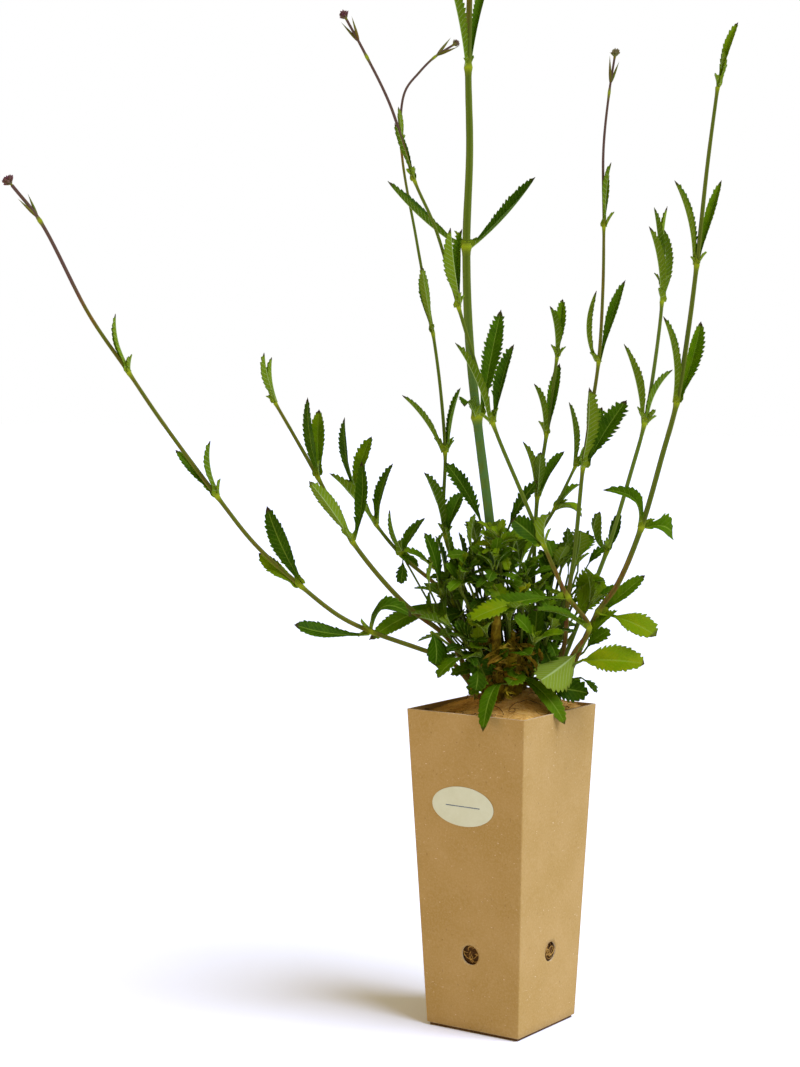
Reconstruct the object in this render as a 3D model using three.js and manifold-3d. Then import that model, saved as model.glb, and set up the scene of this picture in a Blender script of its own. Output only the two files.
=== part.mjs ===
// A tall verbena rooted in a square board pot. Millimetres, +Z up. The origin is the middle of the
// pot's underside, and the pot's faces look along X and Y.
import * as THREE from "three";
import { mergeVertices } from "three/addons/utils/BufferGeometryUtils.js";
import Module from "manifold-3d";

const wasm = await Module();
wasm.setup();

// ---------------------------------------------------------------- pot
const POT_HEIGHT = 210;
const POT_MOUTH = 90;          // outer width at the rim
const POT_FOOT = 71;           // outer width at the sleeve's lower edge
const SLEEVE_LIFT = 2;         // the sleeve ends this far above the surface
const BOARD = 1.4;             // thickness of the sleeve's board
const BASE_THICKNESS = 3.5;
const GAP = 0.3;               // clearance between pieces that touch
const DRAIN_DIAMETER = 13;     // one round hole in each face
const DRAIN_HEIGHT = 52;
const DRAIN_SIDES = 14;

// ---------------------------------------------------------------- label
const LABEL_WIDTH = 47;
const LABEL_HEIGHT = 26;
const LABEL_THICKNESS = 0.4;
const LABEL_CENTRE = 149.6;    // height of its middle on the -Y face
const LABEL_SHIFT = -3;        // along X
const LABEL_TILT = -0.5;       // degrees in its own plane
const LABEL_SIDES = 22;

// ---------------------------------------------------------------- root ball
const SOIL_EDGE = 204.5;       // surface height along the walls
const SOIL_RIM_DROP = 1;       // it stays at least this far below the rim at the walls
const MOUND_HEIGHT = 17;       // the coir swells up round the crown
const MOUND_REACH = 24;
const SOIL_CELLS = 7;
const SOIL_ROUGHNESS = 0.8;
const HOLE_SIDES = 6;

// ---------------------------------------------------------------- stems and leaves
const PLANT_TURN = 35;         // degrees: the plant's own right-hand direction against the pot's X
const STEM_END = 206;          // the stems stand in holes that reach down to here
const SOIL_CLEAR = 3;          // the stems stay upright until this far above the coir
const STEM_STEP = 40;          // length of stem between two rings
const NODE_SWELL = 1.2;        // stems are thicker where leaves grow
const TWIG_SHARE = 0.8;        // thickness of a fork's side stalks, as a share of the stem's tip
const TWIG_BULGE = 0.12;       // how far they bow outward, as a share of their reach
const LEAF_THICKNESS = 0.85;
const LEAF_FOLD = 28;          // degrees that each half of a blade rises from the midrib
const LEAF_ROOT = 0.7;         // leaves start this share of the stem's radius from its middle
const BLADE_START = 0.12;      // share of the leaf's length before the first tooth
const BLADE_END = 0.94;
const RIB_END = 0.8;           // the fold along the midrib runs from the blade's start to here
const ROOT_SHARE = 0.12;       // width of the root as a share of the blade's
const BLADE_SKEW = 1.1;        // above 1 moves the widest place towards the tip
const BLADE_POINT = 0.75;      // below 1 makes the outline fuller
const TOOTH_LEAN = 0.8;        // a tooth's tip lies this share of its pitch forward
const TOOTH_FOOT = 0.82;       // the outline between the teeth, as a share of the half blade
const TOOTH_TIP = 1.1;         // and at their tips

// Long stems, in the plant's own frame: x to the right, y away from the front, z up.
// Each is [name, radius at the soil, radius at the tip, [x, y] in the soil, stations, stalks]. A station
// is [x, y, z, leaves], with a leaf as [dx, dy, dz, width, turn, arch]: from the station to its tip, its
// width, how far its upper face turns to the front in degrees, and how high its middle arches.
// A stem with a list of stalks ends in a head of buds. Each stalk is [station, dx, dy, dz]: it forks off
// there, reaches that far and carries one head more. The other stems end in a pair of leaves.
const STEMS = [
  ["stem_main", 4.0, 1.6, [-6, -2], [
    [-4, 0, 273, []],
    [-8, 1, 326, []],
    [-17, 2, 399, [[16, 14, 70, 13, 70, 3], [-10, -34, 8, 12, 0, 6]]],
    [-22, 3, 449, []],
    [-24, 4, 509, [[-51, -6, 42, 12, 30, -3], [44, 6, 46, 12, 30, -3]]],
    [-22, 5, 571, []],
    [-23, 5, 624, [[-13, -20, 57, 10, 10, 2], [14, 22, 66, 10, 10, 2]]],
    [-22, 6, 680, []],
    [-21, 6, 728, [[-24, 4, 22, 7, 30, 3], [23, -4, 24, 7, 30, 3]]],
    [-21, 6, 760, []],
  ], [[8, -17, -4, 30], [8, 16, 5, 29]]],
  ["stem_mid_left", 2.4, 1.0, [28, -14], [
    [46, -17, 248, []],
    [55, -20, 264, [[-37, -14, 13, 9, 30, 4]]],
    [41, -22, 284, [[-64, -14, -11, 10, 30, 7]]],
    [25, -25, 318, [[-21, 12, 23, 12, 40, 3], [3, -20, 18, 11, 0, 4]]],
    [10, -27, 353, []],
    [-8, -31, 396, [[-24, -8, 51, 10, 30, 3], [14, 12, 50, 11, 40, 3]]],
    [-19, -34, 433, []],
    [-30, -37, 469, [[-6, -14, 49, 10, 30, 3], [1, 12, 50, 10, 30, 3]]],
    [-45, -40, 519, []],
    [-58, -43, 548, [[-12, -6, 35, 6, 30, 3], [-7, 10, 27, 6, 30, 3]]],
    [-73, -46, 594, []],
    [-90, -49, 628, []],
    [-100, -50, 646, []],
  ], []],
  ["stem_back_left", 2.2, 0.9, [-2, 20], [
    [-21, 24, 277, []],
    [-37, 28, 320, [[-14, -10, 43, 11, 40, 3], [12, 8, 28, 12, 60, 3]]],
    [-37, 33, 375, [[-29, -5, 38, 9, 25, 3], [11, 6, 43, 8, 20, 2]]],
    [-40, 37, 416, []],
    [-45, 41, 454, [[-6, -14, 44, 8, 20, 3], [-8, 14, 40, 8, 20, 3]]],
    [-56, 46, 516, []],
    [-66, 51, 577, [[-1, -6, 27, 5, 20, 2], [-3, 6, 24, 5, 20, 2]]],
    [-64, 54, 614, []],
    [-54, 57, 628, []],
    [-44, 58, 638, []],
    [-32, 60, 646, []],
  ], []],
  ["stem_far_left", 2.4, 0.9, [-14, -12], [
    [-35, -13, 242, []],
    [-53, -14, 249, []],
    [-86, -16, 261, [[-49, -8, 7, 14, 20, -4], [27, -6, 11, 12, 0, 14]]],
    [-106, -17, 271, []],
    [-131, -20, 291, [[-23, -6, 51, 12, 40, 4], [-28, 8, 20, 10, 20, 5]]],
    [-160, -23, 318, []],
    [-184, -26, 349, [[-4, -8, 36, 9, 20, 3], [-27, 8, 30, 7, 20, 3]]],
    [-220, -30, 399, []],
    [-239, -33, 428, [[-8, -5, 37, 6, 20, 3], [-10, 5, 32, 5, 20, 2]]],
    [-263, -36, 464, []],
    [-293, -40, 523, []],
    [-310, -42, 545, []],
  ], []],
  ["stem_left_2", 2.6, 1.3, [-17, 2], [
    [-34, -3, 253, []],
    [-64, -6, 278, []],
    [-98, 0, 318, [[-28, -8, 40, 12, 25, 3], [8, 8, 51, 10, 20, -8]]],
    [-121, 8, 360, [[-5, -6, 52, 10, 35, 3], [1, 10, 44, 9, 30, 3]]],
    [-136, 13, 386, []],
    [-149, 18, 408, [[-7, -6, 33, 8, 30, 2], [-3, 8, 30, 8, 30, 2]]],
  ]],
  ["stem_left_3", 2.2, 1.3, [-12, 13], [
    [-32, 26, 275, [[-56, -22, -21, 13, 20, 6]]],
    [-66, 38, 306, [[-8, -6, 31, 7, 30, 2], [15, 6, 25, 9, 60, 2], [16, -10, -13, 8, 30, 2]]],
    [-83, 45, 326, [[-31, -6, 35, 10, 30, 3], [11, 8, 41, 10, 45, 3]]],
    [-98, 52, 349, [[-6, -6, 49, 10, 45, 3], [11, 8, 36, 9, 35, 3]]],
  ]],
  ["stem_mid_right", 2.2, 1.3, [20, 15], [
    [21, 20, 278, []],
    [24, 25, 346, [[-9, -8, 37, 11, 40, 2], [18, 6, 30, 10, 50, 2], [1, -20, 30, 9, 0, 2]]],
    [30, 28, 387, [[-8, -6, 34, 9, 30, 2], [10, 6, 47, 9, 40, 2]]],
    [37, 32, 438, [[-5, -9, 34, 9, 20, 2], [3, 9, 39, 9, 20, 2]]],
  ]],
  ["stem_mid_right_2", 1.8, 1.2, [11, 26], [
    [19, 40, 303, []],
    [37, 46, 337, [[17, 4, 16, 9, 40, 2], [18, -6, -5, 9, 30, 6]]],
    [51, 50, 365, [[-5, -8, 43, 11, 50, 2], [7, 8, 13, 7, 30, 2]]],
  ]],
  ["stem_right_1", 2.5, 0.9, [24, -2], [
    [39, -4, 246, []],
    [42, -7, 281, []],
    [46, -9, 310, []],
    [51, -13, 367, [[2, -12, 52, 12, 40, 3], [27, 8, 44, 14, 60, 3], [13, 16, 39, 9, 30, 2]]],
    [55, -16, 398, []],
    [60, -20, 435, [[-1, -6, 45, 8, 20, -6], [19, 6, 52, 8, 25, 3]]],
    [62, -25, 480, []],
    [62, -29, 520, [[4, -6, 40, 5, 20, 2], [2, 6, 38, 5, 20, 2]]],
    [61, -34, 568, []],
    [64, -38, 603, []],
    [67, -40, 624, []],
  ], []],
  ["stem_right_2", 2.2, 1.4, [33, 13], [
    [52, 22, 264, []],
    [71, 34, 309, [[-5, -6, 27, 9, 30, -6], [10, 6, 26, 9, 30, -10]]],
    [89, 50, 363, []],
    [98, 58, 393, [[-15, -6, 54, 10, 30, 3], [19, 6, 37, 10, 30, 4]]],
    [106, 70, 433, []],
    [112, 82, 476, [[-10, -10, 51, 10, 40, 3], [2, 8, 51, 10, 40, 3]]],
    [112, 84, 488, [[-7, -6, 52, 8, 30, 2], [4, 8, 54, 8, 30, 2]]],
  ]],
  ["stem_right_3", 2.7, 1.3, [37, 1], [
    [62, -8, 273, [[31, 2, 23, 10, 60, 2], [35, -22, -13, 15, 60, 3]]],
    [74, -14, 292, []],
    [88, -22, 329, [[-26, -8, 24, 11, 40, 12], [21, 8, -4, 14, 50, 5]]],
    [100, -32, 376, []],
    [108, -38, 409, [[-11, -14, 54, 13, 40, 4], [18, 8, 51, 12, 45, 4]]],
    [114, -46, 455, []],
    [118, -52, 495, [[-14, -6, 52, 9, 30, 3], [17, 6, 53, 8, 20, 3]]],
    [123, -60, 556, []],
    [128, -66, 603, [[12, 4, 40, 8, 20, 3], [2, -4, 22, 6, 20, 2]]],
  ]],
];

// ---------------------------------------------------------------- crown
// The woody crown that every short shoot grows from: middle in the plant's own frame, radius, top.
const CROWN = { x: 9, y: 5, radius: 7.5, top: 233, taper: 0.7 };

// Short leafy shoots of the crown: [x, y, z of the tip, length of its leaves, pairs of leaves].
const SHOOTS = [
  [-44, 8, 300, 29, 3],
  [-26, -8, 290, 26, 2],
  [-15, 24, 312, 28, 3],
  [-2, -10, 308, 26, 2],
  [13, 30, 300, 28, 2],
  [34, 4, 298, 28, 2],
  [49, 16, 302, 28, 3],
  [58, 2, 278, 27, 2],
  [-34, -18, 264, 26, 2],
  [-26, 34, 266, 28, 2],
  [3, -28, 270, 26, 2],
  [19, -30, 256, 26, 2],
  [-14, -24, 246, 24, 2],
  [34, 42, 262, 28, 2],
  [-3, 48, 276, 28, 2],
];
const SHOOT_RADIUS = 1.3;
const SHOOT_STEP = 18;         // length of shoot between two rings
const SHOOT_DEPTH = 8;         // shoots start this far below the woody crown's top
const SHOOT_START = 0.55;      // and at this share of its radius
const SHOOT_BEND = new THREE.Vector3(0.58, 0.58, 0.42);  // they lean out first and rise later
const FIRST_PAIR = 0.38;       // share of the shoot below its first leaves
const SHOOT_TURN = 40;         // degrees that each shoot's leaves turn against the shoot before it
const PAIR_TURN = 90;          // each pair of leaves crosses the one below it
const TURN_PLAY = 30;
const LEAF_ANGLE = 62;         // degrees between a shoot and its leaves
const LEAF_CLOSING = 30;       // less towards the tip
const ANGLE_PLAY = 10;
const LEAF_SIZE = 1.12;        // length of the leaves, as a share of the shoot's own figure
const LEAF_SHRINK = 0.3;       // less towards the tip
const SIZE_PLAY = 0.15;
const SHOOT_LEAF_ROOT = 0.5;   // leaves start this share of the shoot's radius from its middle
const SHOOT_LEAF_WIDTH = 0.4;  // as a share of their length
const SHOOT_LEAF_ARCH = 0.08;

// Single leaves of the crown on long stalks: [x, y, z of the blade's root, then as a stem's leaf].
// The last two hang over the rim.
const CROWN_LEAVES = [
  [50, -24, 243, 39, -12, 2, 19, 60, 3],
  [46, -24, 247, -17, -18, -19, 22, -60, 2],
  [-47, -24, 262, 3, -9, -21, 15, -40, 2],
  [-24, -26, 246, -19, -8, -13, 12, 30, 4],
  [-17, -28, 240, -2, -8, -15, 11, 30, 2],
  [22, -26, 238, -2, 4, 42, 11, 60, 2],
  [45, 4, 265, 20, 4, 25, 14, 60, 2],
  [-11, 14, 322, -26, -4, 48, 11, 40, 3],
  [8, -14, 233, 32, -18, -29, 10, 20, 14],
  [3, -14, 226, -18, -43, -22, 10, 0, 12],
];
const STALK_RADIUS = 1.04;

// The crown keeps clear of the long stems. Blades and stems are tested as rows of small balls. A shoot
// tries these sideways shifts of its middle, and a leaf these turns round its shoot, in degrees.
const BALL_SPACING = 4;
const BALL_MARGIN = 0.6;
const BLADE_BALLS = 9;         // rows of three balls along a blade
const BLADE_BALL = 0.35;       // radius as a share of the half blade
const BALL_OFFSET = 0.62;      // the outer balls' distance from the midrib, likewise
const SHOOT_SHIFTS = [0, 4, -4, 8, -8, 12, -12, 16, -16];
const LEAF_TURNS = [0, 20, -20, 40, -40, 60, -60];

// ---------------------------------------------------------------- heads of buds
const HEAD_RADIUS = 2.6;
const HEAD_CORE = 0.75;        // the core's radius as a share of the head's
const HEAD_BUDS = 6;
const HEAD_SPREAD = 1.5;       // 2 would cover the whole sphere, the stalk's side too
const BUD_LENGTH = 3.2;
const BUD_RADIUS = 0.95;
const BUD_START = 0.3;         // the buds start this share of the head's radius from its middle
const HEAD_STALK = 0.76;       // radius of the stub between stem and head
const BUD_TURN = 2.4;          // radians from one bud to the next

const COLOURS = {
  board: 0xc4a26c,
  base: 0x5f3e14,
  label: 0xd8d3b4,
  coir: 0x8a6530,
  leaf: 0x3f6a16,
  crown: 0x466f18,
  head: 0x4b2337,
};

// ---------------------------------------------------------------- helpers
const radians = THREE.MathUtils.degToRad;
const vector = (x, y, z) => new THREE.Vector3(x, y, z);
const FRONT = vector(0, -1, 0);
const UP = vector(0, 0, 1);

// The same draws, from 0 to 1, each time the program runs.
function seededRandom(seed) {
  let state = seed >>> 0;
  return () => {
    state = (Math.imul(state, 1664525) + 1013904223) >>> 0;
    return state / 2 ** 32;
  };
}

function toSolid(geometry) {
  const shape = geometry.clone();
  shape.deleteAttribute("normal");
  shape.deleteAttribute("uv");
  const merged = mergeVertices(shape, 1e-4);
  return new wasm.Manifold(new wasm.Mesh({
    numProp: 3,
    vertProperties: Float32Array.from(merged.attributes.position.array),
    triVerts: Uint32Array.from(merged.index.array),
  }));
}

function toGeometry(solid) {
  const mesh = solid.getMesh();
  const geometry = new THREE.BufferGeometry();
  geometry.setAttribute("position", new THREE.BufferAttribute(mesh.vertProperties, 3));
  geometry.setIndex(new THREE.BufferAttribute(mesh.triVerts, 1));
  geometry.computeVertexNormals();
  return geometry;
}

function joined(geometries) {
  return toGeometry(geometries.map(toSolid).reduce((whole, piece) => whole.add(piece)));
}

function indexedGeometry(points, triangles) {
  const geometry = new THREE.BufferGeometry();
  const numbers = points.flatMap((point) => [point.x, point.y, point.z]);
  geometry.setAttribute("position", new THREE.Float32BufferAttribute(numbers, 3));
  geometry.setIndex(triangles);
  return geometry;
}

function addMesh(group, name, geometry, colour, roughness) {
  const material = new THREE.MeshStandardMaterial({ color: colour, roughness, metalness: 0 });
  const mesh = new THREE.Mesh(geometry, material);
  mesh.name = name;
  group.add(mesh);
}

// An upright prism or cone with its axis along Z, from z0 to z1.
function uprightPrism(radiusLow, radiusHigh, z0, z1, sides) {
  const prism = new THREE.CylinderGeometry(radiusHigh, radiusLow, z1 - z0, sides);
  prism.rotateX(Math.PI / 2);
  prism.translate(0, 0, (z0 + z1) / 2);
  return prism;
}

// A square frustum with its faces along X and Y; widths are measured across flats.
function squareFrustum(widthLow, widthHigh, z0, z1) {
  const frustum = uprightPrism(widthLow / Math.SQRT2, widthHigh / Math.SQRT2, z0, z1, 4);
  frustum.rotateZ(Math.PI / 4);
  return frustum;
}

// ---------------------------------------------------------------- pot pieces
const wallSlope = (POT_MOUTH - POT_FOOT) / 2 / (POT_HEIGHT - SLEEVE_LIFT);
const outerWidth = (z) => POT_FOOT + 2 * wallSlope * (z - SLEEVE_LIFT);
const innerWidth = (z) => outerWidth(z) - 2 * BOARD;

function potSleeve() {
  const below = SLEEVE_LIFT - 1;
  const above = POT_HEIGHT + 1;
  const drainRadius = DRAIN_DIAMETER / 2;
  let sleeve = toSolid(squareFrustum(POT_FOOT, POT_MOUTH, SLEEVE_LIFT, POT_HEIGHT));
  sleeve = sleeve.subtract(toSolid(squareFrustum(innerWidth(below), innerWidth(above), below, above)));
  for (const turn of [0, Math.PI / 2]) {
    const drain = new THREE.CylinderGeometry(drainRadius, drainRadius, 2 * POT_MOUTH, DRAIN_SIDES);
    drain.rotateZ(turn);
    drain.translate(0, 0, DRAIN_HEIGHT);
    sleeve = sleeve.subtract(toSolid(drain));
  }
  return toGeometry(sleeve);
}

function potBase() {
  const width = innerWidth(SLEEVE_LIFT) - 2 * GAP;
  return squareFrustum(width, width, 0, BASE_THICKNESS);
}

function plantLabel() {
  const oval = new THREE.CylinderGeometry(LABEL_WIDTH / 2, LABEL_WIDTH / 2, LABEL_THICKNESS, LABEL_SIDES);
  oval.scale(1, 1, LABEL_HEIGHT / LABEL_WIDTH);
  oval.rotateY(radians(-LABEL_TILT));
  oval.rotateX(Math.atan(wallSlope));
  const stand = outerWidth(LABEL_CENTRE) / 2 + GAP + LABEL_THICKNESS / 2;
  oval.translate(LABEL_SHIFT, -stand, LABEL_CENTRE);
  return oval;
}

// ---------------------------------------------------------------- root ball
const turned = new THREE.Matrix4().makeRotationZ(radians(PLANT_TURN));
const crownMiddle = vector(CROWN.x, CROWN.y, 0).applyMatrix4(turned);

function soilHeight(x, y) {
  const square = (x - crownMiddle.x) ** 2 + (y - crownMiddle.y) ** 2;
  return SOIL_EDGE + MOUND_HEIGHT * Math.exp(-square / (2 * MOUND_REACH ** 2));
}

// The coir's height under a point of the plant's own frame.
function coirTop(x, y) {
  const spot = vector(x, y, 0).applyMatrix4(turned);
  return soilHeight(spot.x, spot.y);
}

// A plain upright hole for a stem of this radius, at a place in the plant's own frame.
function plantHole(x, y, radius) {
  const hole = uprightPrism(1, 1, STEM_END - GAP, POT_HEIGHT + 2 * MOUND_HEIGHT, HOLE_SIDES);
  const clear = (radius + GAP) / Math.cos(Math.PI / HOLE_SIDES);
  hole.scale(clear, clear, 1);
  hole.translate(x, y, 0);
  hole.applyMatrix4(turned);
  return toSolid(hole);
}

// A tapered block of coir with a rough, mounded top.
function rootBall() {
  const draw = seededRandom(11);
  const bottom = BASE_THICKNESS + GAP;
  const halfTop = innerWidth(SOIL_EDGE) / 2 - GAP;
  const halfBottom = innerWidth(bottom) / 2 - GAP;
  const block = new THREE.BoxGeometry(2, 2, 2, SOIL_CELLS, SOIL_CELLS, 1);
  const spots = block.attributes.position;
  for (let i = 0; i < spots.count; i += 1) {
    const [u, v] = [spots.getX(i), spots.getY(i)];
    const [x, y] = [u * halfTop, v * halfTop];
    const edge = Math.max(Math.abs(u), Math.abs(v)) > 1 - 1e-6;
    if (spots.getZ(i) < 0) {
      spots.setXYZ(i, u * halfBottom, v * halfBottom, bottom);
    } else if (edge) {
      spots.setXYZ(i, x, y, Math.min(soilHeight(x, y), POT_HEIGHT - SOIL_RIM_DROP));
    } else {
      spots.setXYZ(i, x, y, soilHeight(x, y) + SOIL_ROUGHNESS * (2 * draw() - 1));
    }
  }
  let ball = toSolid(block).subtract(plantHole(CROWN.x, CROWN.y, CROWN.radius));
  for (const [, radius, , [x, y]] of STEMS) {
    ball = ball.subtract(plantHole(x, y, radius));
  }
  return toGeometry(ball);
}

// ---------------------------------------------------------------- stems
// Points of a smooth curve through the stations, about a step apart, and the index of each station.
function smoothRoute(stations, step) {
  const curve = new THREE.CatmullRomCurve3(stations, false, "centripetal");
  const points = [stations[0].clone()];
  const marks = [0];
  for (let i = 1; i < stations.length; i += 1) {
    const parts = Math.max(1, Math.round(stations[i].distanceTo(stations[i - 1]) / step));
    for (let j = 1; j <= parts; j += 1) {
      points.push(curve.getPoint((i - 1 + j / parts) / (stations.length - 1)));
    }
    marks.push(points.length - 1);
  }
  return { points, marks };
}

function tangentAt(points, i) {
  const before = points[Math.max(0, i - 1)];
  const after = points[Math.min(points.length - 1, i + 1)];
  return after.clone().sub(before).normalize();
}

// Two directions square to a stem: to its side, and the rest.
function sidesOf(tangent) {
  const side = vector(0, 1, 0).cross(tangent).normalize();
  return [side, tangent.clone().cross(side)];
}

// A four-sided stem, as this plant has, with one ring of corners at each point.
function squareStem(points, radii) {
  const corners = [];
  const triangles = [];
  points.forEach((point, i) => {
    const [side, other] = sidesOf(tangentAt(points, i));
    for (let corner = 0; corner < 4; corner += 1) {
      const angle = Math.PI * (0.25 + corner / 2);
      corners.push(point.clone()
        .addScaledVector(side, radii[i] * Math.cos(angle))
        .addScaledVector(other, radii[i] * Math.sin(angle)));
    }
  });
  for (let ring = 0; ring < points.length - 1; ring += 1) {
    for (let corner = 0; corner < 4; corner += 1) {
      const a = 4 * ring + corner;
      const b = 4 * ring + (corner + 1) % 4;
      triangles.push(a, b, b + 4, a, b + 4, a + 4);
    }
  }
  const last = 4 * (points.length - 1);
  triangles.push(0, 3, 2, 0, 2, 1, last, last + 1, last + 2, last, last + 2, last + 3);
  return indexedGeometry(corners, triangles);
}

// ---------------------------------------------------------------- leaves
// A leaf is { root, reach, face, width, arch }: where it starts, the way from there to its tip, the
// direction that its upper side looks, its width, and how high its middle arches.

// Half the width of a blade, as a share of its widest, from 0 at the root to 0 at the tip.
const bladeShape = (u) => Math.sin(Math.PI * u ** BLADE_SKEW) ** BLADE_POINT;

// A point of the folded, arched blade, at a share of its length and this far from the midrib.
function bladePoint({ root, reach, face, arch }, u, half) {
  const across = face.clone().cross(reach).normalize();
  return root.clone().addScaledVector(reach, u)
    .addScaledVector(across, half * Math.cos(radians(LEAF_FOLD)))
    .addScaledVector(face, arch * 4 * u * (1 - u) + Math.abs(half) * Math.sin(radians(LEAF_FOLD)));
}

// The upper side of a leaf looks along its stem, turned to the front by an angle in degrees.
function leafFace(reach, tangent, turn) {
  const along = reach.clone().normalize();
  const face = tangent.clone().addScaledVector(along, -tangent.dot(along)).normalize();
  const front = FRONT.clone().addScaledVector(along, -FRONT.dot(along));
  front.addScaledVector(face, -front.dot(face)).normalize();
  return face.multiplyScalar(Math.cos(radians(turn))).addScaledVector(front, Math.sin(radians(turn)));
}

// Teeth on each side of a blade of this length.
function toothCount(length) {
  if (length < 44) return length < 14 ? 0 : 2;
  return length < 64 ? 3 : 4;
}

// Fills the strip between the midrib and one edge, both rows of { u, index } from root to tip.
function fillHalf(rib, edge, flip) {
  const triangles = [];
  let i = 0;
  let j = 0;
  while (i < rib.length - 1 || j < edge.length - 1) {
    const edgeIsNext = j < edge.length - 1 && edge[j + 1].u <= rib[i + 1]?.u;
    const stepEdge = i === rib.length - 1 || edgeIsNext;
    const [a, b, c] = stepEdge ? [edge[j], edge[j + 1], rib[i]] : [edge[j], rib[i + 1], rib[i]];
    triangles.push(flip ? [a, c, b] : [a, b, c]);
    if (stepEdge) j += 1;
    else i += 1;
  }
  return triangles;
}

// A toothed blade folded along its midrib. Both faces have the same triangles, one thickness apart.
function leafBlade(leaf) {
  const teeth = toothCount(leaf.reach.length());
  const points = [];
  const place = (u, half) => {
    points.push(bladePoint(leaf, u, half));
    return { u, index: points.length - 1 };
  };
  const rim = (u, share) => [u, share * Math.max(ROOT_SHARE, bladeShape(u)) * leaf.width / 2];
  const pitch = (BLADE_END - BLADE_START) / teeth;
  const steps = [rim(0, 1)];
  for (let tooth = 0; tooth < teeth; tooth += 1) {
    steps.push(rim(BLADE_START + tooth * pitch, TOOTH_FOOT));
    steps.push(rim(BLADE_START + (tooth + TOOTH_LEAN) * pitch, TOOTH_TIP));
  }
  if (teeth === 0) steps.push(rim(0.5, 1));
  const ribParts = teeth < 3 ? 1 : 2;
  const ribPoint = (_, i) => place(BLADE_START + i * (RIB_END - BLADE_START) / ribParts, 0);
  const rib = Array.from({ length: ribParts + 1 }, ribPoint);
  const right = steps.map(([u, half]) => place(u, -half));
  const left = steps.map(([u, half]) => place(u, half));
  const tip = place(1, 0);
  const top = [
    [left[0], right[0], rib[0]],
    ...fillHalf(rib, right, false),
    ...fillHalf(rib, left, true),
    [right.at(-1), tip, rib.at(-1)],
    [left.at(-1), rib.at(-1), tip],
  ];

  const count = points.length;
  const upper = points.map((point) => point.clone().addScaledVector(leaf.face, LEAF_THICKNESS / 2));
  const lower = points.map((point) => point.clone().addScaledVector(leaf.face, -LEAF_THICKNESS / 2));
  const triangles = top.flatMap(([a, b, c]) =>
    [a.index, b.index, c.index, a.index + count, c.index + count, b.index + count]);
  const outline = [...right, tip, ...left.reverse()];
  outline.forEach((a, i) => {
    const b = outline[(i + 1) % outline.length];
    triangles.push(a.index + count, b.index + count, b.index);
    triangles.push(a.index + count, b.index, a.index);
  });
  return indexedGeometry([...upper, ...lower], triangles);
}

// ---------------------------------------------------------------- clearance of the crown
// Everything that the crown keeps clear of, as balls { spot, radius }.
const obstacles = [];

function stemBalls(points, radii) {
  const balls = [];
  for (let i = 1; i < points.length; i += 1) {
    const parts = Math.ceil(points[i].distanceTo(points[i - 1]) / BALL_SPACING);
    for (let j = 0; j <= parts; j += 1) {
      const spot = points[i - 1].clone().lerp(points[i], j / parts);
      balls.push({ spot, radius: radii[i] });
    }
  }
  return balls;
}

function leafBalls(leaf) {
  const balls = [];
  for (let row = 0; row < BLADE_BALLS; row += 1) {
    const u = (row + 2) / (BLADE_BALLS + 1);
    const half = bladeShape(Math.min(u, BLADE_END)) * leaf.width / 2;
    for (const offset of [-BALL_OFFSET, 0, BALL_OFFSET]) {
      balls.push({ spot: bladePoint(leaf, u, half * offset), radius: half * BLADE_BALL });
    }
  }
  return balls;
}

function touches(balls, others) {
  return balls.some((ball) => others.some((other) =>
    ball.spot.distanceTo(other.spot) < ball.radius + other.radius + BALL_MARGIN));
}

function isClear(balls) {
  const floor = ({ spot }) => Math.max(coirTop(spot.x, spot.y), POT_HEIGHT) + BALL_MARGIN;
  return balls.every((ball) => ball.spot.z - ball.radius > floor(ball)) && !touches(balls, obstacles);
}

// ---------------------------------------------------------------- long stems
// One leaf of a stem: it starts inside the stem, on the side that it leans to.
function stemLeaf(station, tangent, radius, [dx, dy, dz, width, turn, arch]) {
  const lean = vector(dx, dy, dz);
  const outward = lean.clone().addScaledVector(tangent, -lean.dot(tangent)).normalize();
  const root = station.clone().addScaledVector(outward, radius * LEAF_ROOT);
  const reach = station.clone().add(lean).sub(root);
  return { root, reach, face: leafFace(reach, tangent, turn), width, arch };
}

// A side stalk of a forked tip.
function twigRoute(start, reach) {
  const bulge = vector(reach.x * TWIG_BULGE, reach.y * TWIG_BULGE, 0);
  const middle = start.clone().addScaledVector(reach, 0.5).add(bulge);
  return smoothRoute([start, middle, start.clone().add(reach)], STEM_STEP).points;
}

// A whole stem with its leaves and stalks, and the ends that carry a head of buds.
function leafyStem([, radiusLow, radiusHigh, [footX, footY], stations, stalks]) {
  const places = stations.map(([x, y, z]) => vector(x, y, z));
  const atSoil = vector(footX, footY, coirTop(footX, footY) + SOIL_CLEAR);
  const route = smoothRoute([atSoil, ...places], STEM_STEP);
  const whole = route.points.length - 1;
  const radii = route.points.map((_, i) => radiusLow + (radiusHigh - radiusLow) * (i / whole) ** 2);
  stations.forEach(([, , , leaves], i) => {
    if (leaves.length > 0) radii[route.marks[i + 1]] *= NODE_SWELL;
  });
  const points = [vector(footX, footY, STEM_END), ...route.points];
  const pieces = [squareStem(points, [radiusLow, ...radii])];
  obstacles.push(...stemBalls(points, [radiusLow, ...radii]));
  stations.forEach(([, , , leaves], i) => {
    const mark = route.marks[i + 1];
    const tangent = tangentAt(route.points, mark);
    for (const entry of leaves) {
      const leaf = stemLeaf(places[i], tangent, radii[mark], entry);
      obstacles.push(...leafBalls(leaf));
      pieces.push(leafBlade(leaf));
    }
  });
  const ends = stalks ? [{ tip: places.at(-1), direction: tangentAt(route.points, whole) }] : [];
  for (const [station, dx, dy, dz] of stalks ?? []) {
    const twig = twigRoute(places[station], vector(dx, dy, dz));
    pieces.push(squareStem(twig, twig.map(() => radiusHigh * TWIG_SHARE)));
    ends.push({ tip: twig.at(-1), direction: tangentAt(twig, twig.length - 1) });
  }
  return { geometry: joined(pieces), ends };
}

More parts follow.
